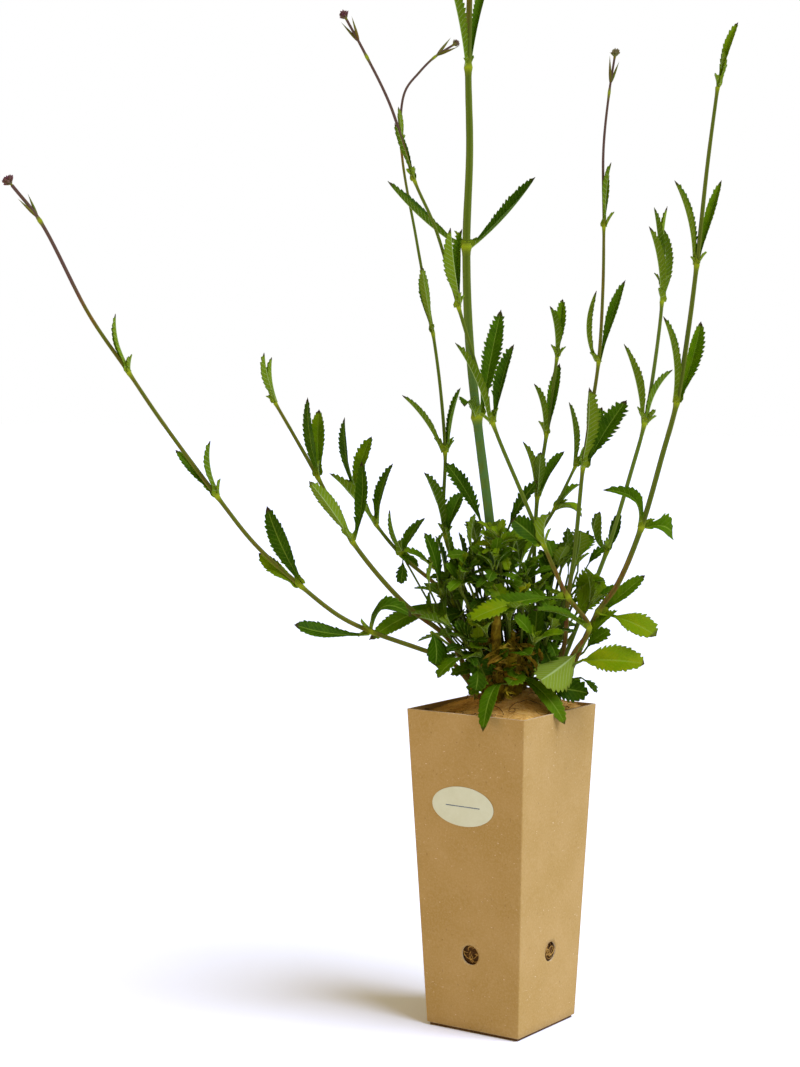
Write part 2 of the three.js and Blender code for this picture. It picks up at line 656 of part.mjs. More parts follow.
// A small core on a stub of stalk, with pointed buds standing out of it on all sides but the stalk's.
function budHead({ tip, direction }) {
  const middle = GAP + HEAD_RADIUS;
  const pieces = [
    uprightPrism(HEAD_STALK, HEAD_STALK, GAP, middle, 3),
    new THREE.OctahedronGeometry(HEAD_RADIUS * HEAD_CORE, 0).translate(0, 0, middle),
  ];
  for (let bud = 0; bud < HEAD_BUDS; bud += 1) {
    const cosine = 1 - HEAD_SPREAD * (bud + 0.5) / HEAD_BUDS;
    const sine = Math.sqrt(1 - cosine ** 2);
    const turn = bud * BUD_TURN;
    const outward = vector(sine * Math.cos(turn), sine * Math.sin(turn), cosine);
    const cone = new THREE.ConeGeometry(BUD_RADIUS, BUD_LENGTH, 3);
    cone.translate(0, HEAD_RADIUS * BUD_START + BUD_LENGTH / 2, 0);
    cone.applyQuaternion(new THREE.Quaternion().setFromUnitVectors(vector(0, 1, 0), outward));
    cone.translate(0, 0, middle);
    pieces.push(cone);
  }
  const head = joined(pieces);
  head.applyQuaternion(new THREE.Quaternion().setFromUnitVectors(UP, direction));
  head.translate(tip.x, tip.y, tip.z);
  return head;
}

// ---------------------------------------------------------------- short shoots
// The way of a shoot from inside the woody crown to its tip, clear of the long stems.
function shootRoute(tip) {
  const out = vector(tip.x - CROWN.x, tip.y - CROWN.y, 0).normalize();
  const sideways = vector(-out.y, out.x, 0);
  const root = vector(CROWN.x, CROWN.y, CROWN.top - SHOOT_DEPTH)
    .addScaledVector(out, CROWN.radius * SHOOT_START);
  const climb = tip.clone().sub(root);
  const routes = SHOOT_SHIFTS.map((shift) => {
    const middle = root.clone().add(climb.clone().multiply(SHOOT_BEND)).addScaledVector(sideways, shift);
    return smoothRoute([root, middle, tip], SHOOT_STEP).points;
  });
  const outside = ({ spot }) => Math.hypot(spot.x - CROWN.x, spot.y - CROWN.y) > CROWN.radius;
  const clear = (points) => isClear(stemBalls(points, points.map(() => SHOOT_RADIUS)).filter(outside));
  return routes.find(clear) ?? routes[0];
}

// One leaf of a shoot, at an angle in degrees round it.
function shootLeaf(station, tangent, around, spread, size) {
  const [side, other] = sidesOf(tangent);
  const outward = side.multiplyScalar(Math.cos(radians(around)))
    .addScaledVector(other, Math.sin(radians(around)));
  const root = station.clone().addScaledVector(outward, SHOOT_RADIUS * SHOOT_LEAF_ROOT);
  const reach = tangent.clone().multiplyScalar(Math.cos(radians(spread)) * size)
    .addScaledVector(outward, Math.sin(radians(spread)) * size);
  const face = leafFace(reach, tangent, 0);
  return { root, reach, face, width: size * SHOOT_LEAF_WIDTH, arch: size * SHOOT_LEAF_ARCH };
}

// Opposite pairs of leaves along a shoot. A leaf turns until it clears the long stems, and if it can
// the crown's other leaves too. One that finds no room is left out.
function shootLeaves(points, leafLength, pairs, firstTurn, draw, crownBalls) {
  const leaves = [];
  for (let pair = 0; pair < pairs; pair += 1) {
    const share = FIRST_PAIR + (1 - FIRST_PAIR) * pair / (pairs - 1);
    const mark = share * (points.length - 1);
    const low = Math.min(Math.floor(mark), points.length - 2);
    const station = points[low].clone().lerp(points[low + 1], mark - low);
    const tangent = points[low + 1].clone().sub(points[low]).normalize();
    const spread = LEAF_ANGLE - LEAF_CLOSING * share + ANGLE_PLAY * draw();
    const size = leafLength * (LEAF_SIZE - LEAF_SHRINK * share + SIZE_PLAY * draw());
    const start = firstTurn + pair * PAIR_TURN + TURN_PLAY * draw();
    for (const opposite of [0, 180]) {
      const choices = LEAF_TURNS
        .map((turn) => shootLeaf(station, tangent, start + opposite + turn, spread, size))
        .filter((leaf) => isClear(leafBalls(leaf)));
      const leaf = choices.find((one) => !touches(leafBalls(one), crownBalls)) ?? choices[0];
      if (leaf) {
        crownBalls.push(...leafBalls(leaf));
        leaves.push(leaf);
      }
    }
  }
  return leaves;
}

function crown() {
  const draw = seededRandom(7);
  const wood = uprightPrism(CROWN.radius, CROWN.radius * CROWN.taper, STEM_END, CROWN.top, HOLE_SIDES);
  wood.translate(CROWN.x, CROWN.y, 0);
  const pieces = [wood];
  const crownBalls = [];
  for (const [x, y, z, dx, dy, dz, width, turn, arch] of CROWN_LEAVES) {
    const reach = vector(dx, dy, dz);
    const leaf = { root: vector(x, y, z), reach, face: leafFace(reach, UP, turn), width, arch };
    const stalk = shootRoute(leaf.root);
    crownBalls.push(...leafBalls(leaf));
    pieces.push(squareStem(stalk, stalk.map(() => STALK_RADIUS)), leafBlade(leaf));
  }
  SHOOTS.forEach(([x, y, z, leafLength, pairs], shoot) => {
    const points = shootRoute(vector(x, y, z));
    const leaves = shootLeaves(points, leafLength, pairs, shoot * SHOOT_TURN, draw, crownBalls);
    pieces.push(squareStem(points, points.map(() => SHOOT_RADIUS)), ...leaves.map(leafBlade));
  });
  return joined(pieces);
}

// ---------------------------------------------------------------- assembly
const group = new THREE.Group();
addMesh(group, "pot_sleeve", potSleeve(), COLOURS.board, 0.9);
addMesh(group, "pot_base", potBase(), COLOURS.base, 0.9);
addMesh(group, "plant_label", plantLabel(), COLOURS.label, 0.7);
addMesh(group, "root_ball", rootBall(), COLOURS.coir, 1);

const plant = new THREE.Group();
plant.rotation.z = radians(PLANT_TURN);
group.add(plant);
for (const stem of STEMS) {
  const [name] = stem;
  const { geometry, ends } = leafyStem(stem);
  addMesh(plant, name, geometry, COLOURS.leaf, 0.6);
  ends.forEach((end, i) => {
    const headName = name.replace("stem", "head") + (i > 0 ? `_${i + 1}` : "");
    addMesh(plant, headName, budHead(end), COLOURS.head, 0.7);
  });
}
addMesh(plant, "crown", crown(), COLOURS.crown, 0.65);

export default group;
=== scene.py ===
"""The looks of a tall verbena in a square board pot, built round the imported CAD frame.

The plant's places are in millimetres and in the plant's own frame (x to the right, y away from the
front, z up), as in the solids. Meshes are in metres, in the row frame.
"""

import math
from dataclasses import dataclass

import bpy
import numpy as np
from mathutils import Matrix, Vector, noise


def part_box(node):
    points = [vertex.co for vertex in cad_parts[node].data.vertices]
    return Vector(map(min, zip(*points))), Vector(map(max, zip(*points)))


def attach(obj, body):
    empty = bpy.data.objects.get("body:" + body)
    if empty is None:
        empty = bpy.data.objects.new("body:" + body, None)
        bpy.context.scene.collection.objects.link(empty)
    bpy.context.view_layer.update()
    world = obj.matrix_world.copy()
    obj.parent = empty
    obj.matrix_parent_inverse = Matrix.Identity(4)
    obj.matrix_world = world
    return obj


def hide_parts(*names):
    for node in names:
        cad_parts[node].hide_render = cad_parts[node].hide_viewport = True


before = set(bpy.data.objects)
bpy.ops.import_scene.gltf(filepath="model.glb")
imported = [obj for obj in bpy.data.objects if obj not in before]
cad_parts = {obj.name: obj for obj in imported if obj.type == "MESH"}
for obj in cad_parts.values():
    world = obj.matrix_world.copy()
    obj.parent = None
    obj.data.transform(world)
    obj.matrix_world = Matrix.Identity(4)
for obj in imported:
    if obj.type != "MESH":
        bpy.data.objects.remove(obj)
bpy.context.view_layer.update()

MM = 0.001

# -------- pot, label, coir (mm)
POT_FOOT = 71                # outer width at the sleeve's lower edge
BOARD = 1.4                  # thickness of the board
GAP = 0.3                    # play between the sleeve and what is in it
DRAIN_DIAMETER = 13
DRAIN_HEIGHT = 52            # of the middle of a hole
LABEL_WIDTH, LABEL_HEIGHT = 47, 26
LABEL_CENTRE = 149.6         # height of its middle
LABEL_SHIFT = -3             # to the right
LABEL_TILT = -0.5            # degrees in its own plane
BASE_THICKNESS = 3.5
SOIL_EDGE = 204.5            # height of the coir at the walls
MOUND_HEIGHT = 17            # above that
MOUND_REACH = 24             # how wide the mound is

# -------- stems and leaves (mm, degrees)
PLANT_TURN = 35              # from the plant's frame to the row frame
STEM_END = 206               # height of a stem's lower end, inside the coir
SOIL_CLEAR = 3               # height above the coir at which a stem starts to lean
STEM_STEP = 40               # from ring to ring of a stem's solid
NODE_SWELL = 1.2             # radius at a node against the stem's
TWIG_SHARE = 0.8             # radius of a side stalk against its stem's tip
TWIG_BULGE = 0.12            # how far it bends outwards, as a share of its reach
LEAF_FOLD = 28               # of each half of a blade
LEAF_ROOT = 0.7              # where a leaf starts, as a share of its stem's radius
BLADE_END = 0.94             # share of the length at the last tooth
ROOT_SHARE = 0.12            # width of a leaf's root against its widest place
BLADE_SKEW = 1.1             # above 1, the widest place is nearer to the tip
BLADE_POINT = 0.75           # lower is blunter

# Long stems: [name, radius at the soil, radius at the tip, [x, y] in the soil, stations, stalks]. A station
# is [x, y, z] and then its leaves, each as [dx, dy, dz, width, turn, arch]. A stem with a list of stalks
# ends in a head of buds, and each stalk [station, dx, dy, dz] forks off there with one head more.
STEMS = [
    ["stem_main", 4.0, 1.6, [-6, -2], [
        [-4, 0, 273], [-8, 1, 326],
        [-17, 2, 399, [16, 14, 70, 13, 70, 3], [-10, -34, 8, 12, 0, 6]],
        [-22, 3, 449],
        [-24, 4, 509, [-51, -6, 42, 12, 30, -3], [44, 6, 46, 12, 30, -3]],
        [-22, 5, 571],
        [-23, 5, 624, [-13, -20, 57, 10, 10, 2], [14, 22, 66, 10, 10, 2]],
        [-22, 6, 680],
        [-21, 6, 728, [-24, 4, 22, 7, 30, 3], [23, -4, 24, 7, 30, 3]],
        [-21, 6, 760],
    ], [[8, -17, -4, 30], [8, 16, 5, 29]]],
    ["stem_mid_left", 2.4, 1.0, [28, -14], [
        [46, -17, 248],
        [55, -20, 264, [-37, -14, 13, 9, 30, 4]],
        [41, -22, 284, [-64, -14, -11, 10, 30, 7]],
        [25, -25, 318, [-21, 12, 23, 12, 40, 3], [3, -20, 18, 11, 0, 4]],
        [10, -27, 353],
        [-8, -31, 396, [-24, -8, 51, 10, 30, 3], [14, 12, 50, 11, 40, 3]],
        [-19, -34, 433],
        [-30, -37, 469, [-6, -14, 49, 10, 30, 3], [1, 12, 50, 10, 30, 3]],
        [-45, -40, 519],
        [-58, -43, 548, [-12, -6, 35, 6, 30, 3], [-7, 10, 27, 6, 30, 3]],
        [-73, -46, 594], [-90, -49, 628], [-100, -50, 646],
    ], []],
    ["stem_back_left", 2.2, 0.9, [-2, 20], [
        [-21, 24, 277],
        [-37, 28, 320, [-14, -10, 43, 11, 40, 3], [12, 8, 28, 12, 60, 3]],
        [-37, 33, 375, [-29, -5, 38, 9, 25, 3], [11, 6, 43, 8, 20, 2]],
        [-40, 37, 416],
        [-45, 41, 454, [-6, -14, 44, 8, 20, 3], [-8, 14, 40, 8, 20, 3]],
        [-56, 46, 516],
        [-66, 51, 577, [-1, -6, 27, 5, 20, 2], [-3, 6, 24, 5, 20, 2]],
        [-64, 54, 614], [-54, 57, 628], [-44, 58, 638], [-32, 60, 646],
    ], []],
    ["stem_far_left", 2.4, 0.9, [-14, -12], [
        [-35, -13, 242], [-53, -14, 249],
        [-86, -16, 261, [-49, -8, 7, 14, 20, -4], [27, -6, 11, 12, 0, 14]],
        [-106, -17, 271],
        [-131, -20, 291, [-23, -6, 51, 12, 40, 4], [-28, 8, 20, 10, 20, 5]],
        [-160, -23, 318],
        [-184, -26, 349, [-4, -8, 36, 9, 20, 3], [-27, 8, 30, 7, 20, 3]],
        [-220, -30, 399],
        [-239, -33, 428, [-8, -5, 37, 6, 20, 3], [-10, 5, 32, 5, 20, 2]],
        [-263, -36, 464], [-293, -40, 523], [-310, -42, 545],
    ], []],
    ["stem_left_2", 2.6, 1.3, [-17, 2], [
        [-34, -3, 253], [-64, -6, 278],
        [-98, 0, 318, [-28, -8, 40, 12, 25, 3], [8, 8, 51, 10, 20, -8]],
        [-121, 8, 360, [-5, -6, 52, 10, 35, 3], [1, 10, 44, 9, 30, 3]],
        [-136, 13, 386],
        [-149, 18, 408, [-7, -6, 33, 8, 30, 2], [-3, 8, 30, 8, 30, 2]],
    ]],
    ["stem_left_3", 2.2, 1.3, [-12, 13], [
        [-32, 26, 275, [-56, -22, -21, 13, 20, 6]],
        [-66, 38, 306, [-8, -6, 31, 7, 30, 2], [15, 6, 25, 9, 60, 2], [16, -10, -13, 8, 30, 2]],
        [-83, 45, 326, [-31, -6, 35, 10, 30, 3], [11, 8, 41, 10, 45, 3]],
        [-98, 52, 349, [-6, -6, 49, 10, 45, 3], [11, 8, 36, 9, 35, 3]],
    ]],
    ["stem_mid_right", 2.2, 1.3, [20, 15], [
        [21, 20, 278],
        [24, 25, 346, [-9, -8, 37, 11, 40, 2], [18, 6, 30, 10, 50, 2], [1, -20, 30, 9, 0, 2]],
        [30, 28, 387, [-8, -6, 34, 9, 30, 2], [10, 6, 47, 9, 40, 2]],
        [37, 32, 438, [-5, -9, 34, 9, 20, 2], [3, 9, 39, 9, 20, 2]],
    ]],
    ["stem_mid_right_2", 1.8, 1.2, [11, 26], [
        [19, 40, 303],
        [37, 46, 337, [17, 4, 16, 9, 40, 2], [18, -6, -5, 9, 30, 6]],
        [51, 50, 365, [-5, -8, 43, 11, 50, 2], [7, 8, 13, 7, 30, 2]],
    ]],
    ["stem_right_1", 2.5, 0.9, [24, -2], [
        [39, -4, 246], [42, -7, 281], [46, -9, 310],
        [51, -13, 367, [2, -12, 52, 12, 40, 3], [27, 8, 44, 14, 60, 3], [13, 16, 39, 9, 30, 2]],
        [55, -16, 398],
        [60, -20, 435, [-1, -6, 45, 8, 20, -6], [19, 6, 52, 8, 25, 3]],
        [62, -25, 480],
        [62, -29, 520, [4, -6, 40, 5, 20, 2], [2, 6, 38, 5, 20, 2]],
        [61, -34, 568], [64, -38, 603], [67, -40, 624],
    ], []],
    ["stem_right_2", 2.2, 1.4, [33, 13], [
        [52, 22, 264],
        [71, 34, 309, [-5, -6, 27, 9, 30, -6], [10, 6, 26, 9, 30, -10]],
        [89, 50, 363],
        [98, 58, 393, [-15, -6, 54, 10, 30, 3], [19, 6, 37, 10, 30, 4]],
        [106, 70, 433],
        [112, 82, 476, [-10, -10, 51, 10, 40, 3], [2, 8, 51, 10, 40, 3]],
        [112, 84, 488, [-7, -6, 52, 8, 30, 2], [4, 8, 54, 8, 30, 2]],
    ]],
    ["stem_right_3", 2.7, 1.3, [37, 1], [
        [62, -8, 273, [31, 2, 23, 10, 60, 2], [35, -22, -13, 15, 60, 3]],
        [74, -14, 292],
        [88, -22, 329, [-26, -8, 24, 11, 40, 12], [21, 8, -4, 14, 50, 5]],
        [100, -32, 376],
        [108, -38, 409, [-11, -14, 54, 13, 40, 4], [18, 8, 51, 12, 45, 4]],
        [114, -46, 455],
        [118, -52, 495, [-14, -6, 52, 9, 30, 3], [17, 6, 53, 8, 20, 3]],
        [123, -60, 556],
        [128, -66, 603, [12, 4, 40, 8, 20, 3], [2, -4, 22, 6, 20, 2]],
    ]],
]

# -------- crown (mm, degrees)
CROWN_X, CROWN_Y, CROWN_RADIUS, CROWN_TOP = 9, 5, 7.5, 233

# Short leafy shoots: [x, y, z of the tip, length of the leaves, pairs of leaves].
SHOOTS = [
    [-44, 8, 300, 29, 3],
    [-26, -8, 290, 26, 2],
    [-15, 24, 312, 28, 3],
    [-2, -10, 308, 26, 2],
    [13, 30, 300, 28, 2],
    [34, 4, 298, 28, 2],
    [49, 16, 302, 28, 3],
    [58, 2, 278, 27, 2],
    [-34, -18, 264, 26, 2],
    [-26, 34, 266, 28, 2],
    [3, -28, 270, 26, 2],
    [19, -30, 256, 26, 2],
    [-14, -24, 246, 24, 2],
    [34, 42, 262, 28, 2],
    [-3, 48, 276, 28, 2],
]
SHOOT_RADIUS = 1.3
SHOOT_STEP = 18              # from ring to ring of a shoot's solid
SHOOT_DEPTH = 8              # how far below the top of the woody base it starts
SHOOT_START = 0.55           # and how far out, as a share of that base's radius
SHOOT_BEND = np.array((0.58, 0.58, 0.42))
FIRST_PAIR = 0.38            # share of a shoot's length at its lowest leaves
SHOOT_TURN = 40              # from shoot to shoot
PAIR_TURN = 90               # from pair to pair
TURN_PLAY = 30
LEAF_ANGLE = 62              # between a shoot and its leaves
LEAF_CLOSING = 30            # by which that is less at the tip
ANGLE_PLAY = 10
LEAF_SIZE = 1.12             # length of the leaves at the foot against the given one
LEAF_SHRINK = 0.3            # by which that is less at the tip
SIZE_PLAY = 0.15
SHOOT_LEAF_ROOT = 0.5        # where a leaf starts, as a share of the shoot's radius
SHOOT_LEAF_WIDTH = 0.4       # against its length, as is the arch
SHOOT_LEAF_ARCH = 0.08

# Single leaves on long stalks: [x, y, z of the blade's root, then as a stem's leaf, then its tone].
CROWN_LEAVES = [
    [50, -24, 243, 39, -12, 2, 19, 60, 3, 0.85],
    [46, -24, 247, -17, -18, -19, 22, -60, 2, 1.3],
    [-47, -24, 262, 3, -9, -21, 15, -40, 2, 0.1],
    [-24, -26, 246, -19, -8, -13, 12, 30, 4, 0.5],
    [-17, -28, 240, -2, -8, -15, 11, 30, 2, 0.15],
    [22, -26, 238, -2, 4, 42, 11, 60, 2, 0.2],
    [45, 4, 265, 20, 4, 25, 14, 60, 2, 0.7],
    [-11, 14, 322, -26, -4, 48, 11, 40, 3, 0.15],
    [8, -14, 233, 32, -18, -29, 10, 20, 14, 0.5],
    [3, -14, 226, -18, -43, -22, 10, 0, 12, 0.25],
]
STALK_RADIUS = 1.04          # of a single leaf's stalk

# More single leaves, and shoots as [x, y, z of the tip, length of the leaves, pairs, darkest tone], which
# fill the crown in this scene alone.
EXTRA_LEAVES = [
    [-41, -6, 283, -9, -10, 42, 13, 60, 2, 0.1],
    [-37, 4, 283, -5, -4, 39, 12, 60, 2, 0.05],
    [-34, 0, 285, -2, -8, 45, 10, 50, 2, 0.05],
    [-48, -14, 288, 1, -6, 19, 5, 40, 1, 0.6],
    [-28, -16, 289, 4, -6, 24, 9, 60, 2, 0.65],
    [-29, -10, 289, -8, -6, 17, 7, 50, 1, 0.3],
    [-18, -8, 309, -19, -6, 1, 7, 60, 2, 0.4],
    [-20, -4, 308, 2, -4, 29, 8, 50, 2, 0.5],
    [0, -6, 286, 7, -6, 27, 12, 60, 2, 0.35],
    [10, 2, 278, 13, -4, 31, 13, 60, 2, 0.3],
    [12, -34, 282, -35, -12, -10, 13, 50, 3, 0.85],
    [12, -22, 284, 5, -3, 9, 6, 60, 1, 1.1],
    [-6, -22, 284, -1, -3, 8, 4, 60, 1, 1.15],
    [-5, 6, 289, -11, -4, 25, 12, 60, 2, 0.15],
    [-13, -4, 280, -12, -6, 17, 11, 60, 2, 0.2],
    [-10, -20, 273, -13, -10, -6, 9, 60, 2, 0.75],
    [1, -22, 275, -12, -8, 4, 5, 60, 2, 1.1],
    [5, -20, 283, 9, -6, 8, 5, 60, 1, 1.1],
    [48, 22, 275, 19, -6, 18, 21, 75, 3, 0.75],
    [45, 28, 294, 0, -4, 32, 7, 60, 2, 0.15],
    [51, 26, 296, 7, -4, 28, 6, 60, 2, 0.25],
    [57, 30, 298, 12, -4, 14, 6, 60, 2, 0.15],
    [30, 10, 276, 6, -6, 33, 12, 60, 2, 0.2],
    [33, 16, 283, -8, -4, 29, 11, 60, 2, 0.15],
    [51, -10, 249, 22, -6, 26, 10, 40, 3, 0.6],
    [53, -4, 246, 16, -4, 16, 9, 50, 2, 0.5],
    [22, -14, 224, 33, -6, -3, 14, 60, 3, 0.1],
    [51, -10, 230, 10, -4, -9, 6, 40, 1, 0.2],
    [-20, -18, 252, 9, -8, -22, 14, 60, 3, 0.1],
    [-12, -10, 255, -10, -12, -17, 13, 60, 3, 0.1],
    [24, -14, 255, 8, -8, -17, 10, 60, 2, 0.15],
    [18, -6, 275, 9, -6, 16, 10, 60, 2, 0.2],
    [-23, -2, 272, -18, -6, -3, 10, 60, 2, 0.15],
    [3, 12, 322, 20, -8, 35, 10, 60, 3, 0.12],
    [-26, 8, 286, -1, -4, 38, 12, 60, 2, 0.05],
    [-65, 36, 305, -1, -2, -18, 7, 30, 1, 0.1],
]
FILL_SHOOTS = [
    [-38, -4, 282, 24, 3, 0.1],
    [-20, 4, 300, 22, 3, 0.2],
    [-5, -8, 322, 16, 3, 0.75],
    [6, 10, 312, 22, 3, 0.1],
    [20, -12, 284, 22, 3, 0.25],
    [28, 20, 290, 22, 3, 0.05],
    [-30, 16, 280, 24, 3, 0.05],
    [-12, -30, 262, 20, 3, 0.15],
    [30, -20, 262, 20, 2, 0.2],
    [-44, -8, 268, 22, 3, 0.1],
    [0, 26, 292, 22, 3, 0.05],
    [40, 20, 300, 22, 3, 0.15],
    [-20, -20, 256, 20, 3, 0.05],
]

# Whorls of small leaves: [x, y, z of the middle, length of the leaves, how many, tone].
ROSETTES = [
    [-3, -18, 317, 15, 15, 0.72],
    [-6, -20, 300, 21, 13, 0.3],
    [-24, -14, 296, 20, 11, 0.35],
    [14, -12, 294, 20, 11, 0.35],
    [-10, -16, 283, 18, 10, 0.15],
    [-24, -22, 252, 18, 9, 0.1],
    [28, -14, 259, 18, 9, 0.15],
]

# Clearance, as in the solids: balls along each stem and leaf, and the shifts and turns that are tried.
BALL_SPACING = 4
BALL_MARGIN = 0.6            # least gap between two balls
BLADE_BALLS = 9              # rows of balls along a blade
BLADE_BALL = 0.35            # radius of a ball against the half width
BALL_OFFSET = 0.62           # of the outer balls, against the half width
SHOOT_SHIFTS = [0, 4, -4, 8, -8, 12, -12, 16, -16]
LEAF_TURNS = [0, 20, -20, 40, -40, 60, -60]

# -------- small helpers
UP = np.array((0.0, 0.0, 1.0))
FRONT = np.array((0.0, -1.0, 0.0))
FULL_TURN = 6.28             # radians
GOLDEN_TURN = 2.4            # radians from each form to the next in a whorl or a dome


def vec(*numbers):
    return np.array(numbers, float)


def unit(vectors):
    return vectors / np.linalg.norm(vectors, axis=-1, keepdims=True)


def stacked(*parts):
    """Arrays or plain numbers, put together as the parts of each point."""
    return np.stack(np.broadcast_arrays(*parts), axis=-1)


def square_to(direction, axis):
    """The part of a direction that is square to a unit axis."""
    return direction - axis * direction.dot(axis)


def swung(first, second, angle):
    """A direction swung by an angle in radians from one towards another."""
    return math.cos(angle) * first + math.sin(angle) * second


def turned(points, degrees):
    """Points turned about the upright axis."""
    cosine, sine = math.cos(math.radians(degrees)), math.sin(math.radians(degrees))
    return points @ np.array(((cosine, sine, 0), (-sine, cosine, 0), (0, 0, 1)))


def seeded_random(seed):
    """The same draws, from 0 to 1, as the solids are made with."""
    state = seed

    def draw():
        nonlocal state
        state = (state * 1664525 + 1013904223) % 2 ** 32
        return state / 2 ** 32
    return draw


def smooth_step(low, high, value):
    share = np.clip((value - low) / (high - low), 0, 1)
    return share * share * (3 - 2 * share)


def rough(points, scale, seed):
    """Noise from -1 to 1 at each point, with features of about this size."""
    shift = Vector((17.3 * seed, 5.1 * seed, 3.7 * seed))
    values = [noise.noise(Vector(p) / scale + shift) for p in points.reshape(-1, 3)]
    return np.array(values).reshape(points.shape[:-1])


def placed(name, data):
    """A new object in the scene."""
    made = bpy.data.objects.new(name, data)
    bpy.context.scene.collection.objects.link(made)
    return made


# -------- meshes
class Skin:
    """Gathers closed forms into one mesh, each face with a material, each vertex with shading values."""

    def __init__(self):
        self.points, self.faces, self.slots, self.shade, self.veins = [], [], [], [], []
        self.count = 0

    def add(self, loops, slots, shade=(0, 0, 0), veins=0.0, caps=True, ring=False):
        """loops is rows x columns x 3: closed loops of points, one after the other. slots is the
        material of each column's faces. A ring joins the last loop to the first."""
        rows, columns = loops.shape[:2]
        index = self.count + np.arange(rows * columns).reshape(rows, columns)
        grid = np.concatenate([index, index[:, :1]], axis=1)
        if ring:
            grid = np.concatenate([grid, grid[:1]])
        quads = np.stack([grid[:-1, :-1], grid[:-1, 1:], grid[1:, 1:], grid[1:, :-1]], axis=-1)
        slots = np.broadcast_to(slots, (columns,))
        self.points.append(loops.reshape(-1, 3))
        self.faces.extend(quads.reshape(-1, 4).tolist())
        self.slots.extend(np.tile(slots, quads.shape[0]).tolist())
        if caps and not ring:
            self.faces.extend([index[0, ::-1].tolist(), index[-1].tolist()])
            self.slots.extend([int(slots[0])] * 2)
        self.shade.append(np.broadcast_to(shade, (rows, columns, 3)).reshape(-1, 3))
        self.veins.append(np.broadcast_to(veins, (rows, columns)).ravel())
        self.count += rows * columns

    def build(self, name, materials, turn=PLANT_TURN, sharp=50):
        """The object, in metres and in the row frame, with the shade and vein values on its vertices."""
        places = turned(np.concatenate(self.points), turn) * MM
        mesh = bpy.data.meshes.new(name)
        mesh.from_pydata(places.tolist(), [], self.faces)
        mesh.polygons.foreach_set("material_index", self.slots)
        mesh.polygons.foreach_set("use_smooth", [True] * len(self.faces))
        for material in materials:
            mesh.materials.append(material)
        shade = mesh.attributes.new("shade", "FLOAT_VECTOR", "POINT")
        shade.data.foreach_set("vector", np.concatenate(self.shade).astype(np.float32).ravel())
        veins = mesh.attributes.new("veins", "FLOAT", "POINT")
        veins.data.foreach_set("value", np.concatenate(self.veins).astype(np.float32))
        mesh.update()
        mesh.set_sharp_from_angle(angle=math.radians(sharp))
        return placed(name, mesh)


def dress(piece, slot, *nodes):
    """Fastens a finished piece to the part and hides the nodes that it stands for."""
    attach(piece, "root")
    if nodes:
        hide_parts(*nodes)
    return piece


# -------- material helpers
def new_material(name):
    material = bpy.data.materials.new(name)
    material.use_nodes = True
    material.node_tree.nodes.clear()
    return material, material.node_tree


def node(tree, kind, settings=None, **inputs):
    """A shader node. An input is named as in Blender, with _ for a space, and is a value or a socket."""
    made = tree.nodes.new(kind)
    for name, value in (settings or {}).items():
        setattr(made, name, value)
    for name, value in inputs.items():
        connect(tree, value, made.inputs[name.replace("_", " ")])
    return made


def connect(tree, value, socket):
    if isinstance(value, bpy.types.NodeSocket):
        tree.links.new(value, socket)
    else:
        socket.default_value = value


def calculate(tree, operation, first, second=0.0):
    made = tree.nodes.new("ShaderNodeMath")
    made.operation = operation
    connect(tree, first, made.inputs[0])
    connect(tree, second, made.inputs[1])
    return made.outputs[0]


def product(tree, first, second):
    return calculate(tree, "MULTIPLY", first, second)


def mixed(tree, share, first, second):
    """Two colours (or RGB triples) mixed by a share."""
    made = tree.nodes.new("ShaderNodeMix")
    made.data_type = "RGBA"
    connect(tree, share, made.inputs[0])
    for value, socket in ((first, made.inputs[6]), (second, made.inputs[7])):
        connect(tree, value if isinstance(value, bpy.types.NodeSocket) else (*value, 1), socket)
    return made.outputs[2]


def overlaid(tree, colour, *layers):
    """A colour with others laid over it in turn, each as (share, colour)."""
    for share, other in layers:
        colour = mixed(tree, share, colour, other)
    return colour


def span(tree, value, low, high, to_low=0.0, to_high=1.0):
    """A value taken smoothly from one range to another."""
    made = node(tree, "ShaderNodeMapRange", {"interpolation_type": "SMOOTHSTEP"}, Value=value,
                From_Min=low, From_Max=high, To_Min=to_low, To_Max=to_high)
    return made.outputs[0]


def grain(tree, scale, detail=4.0, roughness=0.55, stretch=(1, 1, 1)):
    """Noise over the piece; scale is in features per metre."""
    place = node(tree, "ShaderNodeTexCoord").outputs["Object"]
    place = node(tree, "ShaderNodeMapping", Vector=place, Scale=stretch).outputs[0]
    made = node(tree, "ShaderNodeTexNoise", Vector=place, Scale=scale, Detail=detail, Roughness=roughness)
    return made.outputs[0]


def shade_values(tree):
    """The numbers that Skin keeps on each vertex: the three of its shade, and veins."""
    names = ("shade", "veins")
    shade, veins = (node(tree, "ShaderNodeAttribute", {"attribute_name": name}) for name in names)
    parts = node(tree, "ShaderNodeSeparateXYZ", Vector=shade.outputs["Vector"])
    return *parts.outputs, veins.outputs["Fac"]


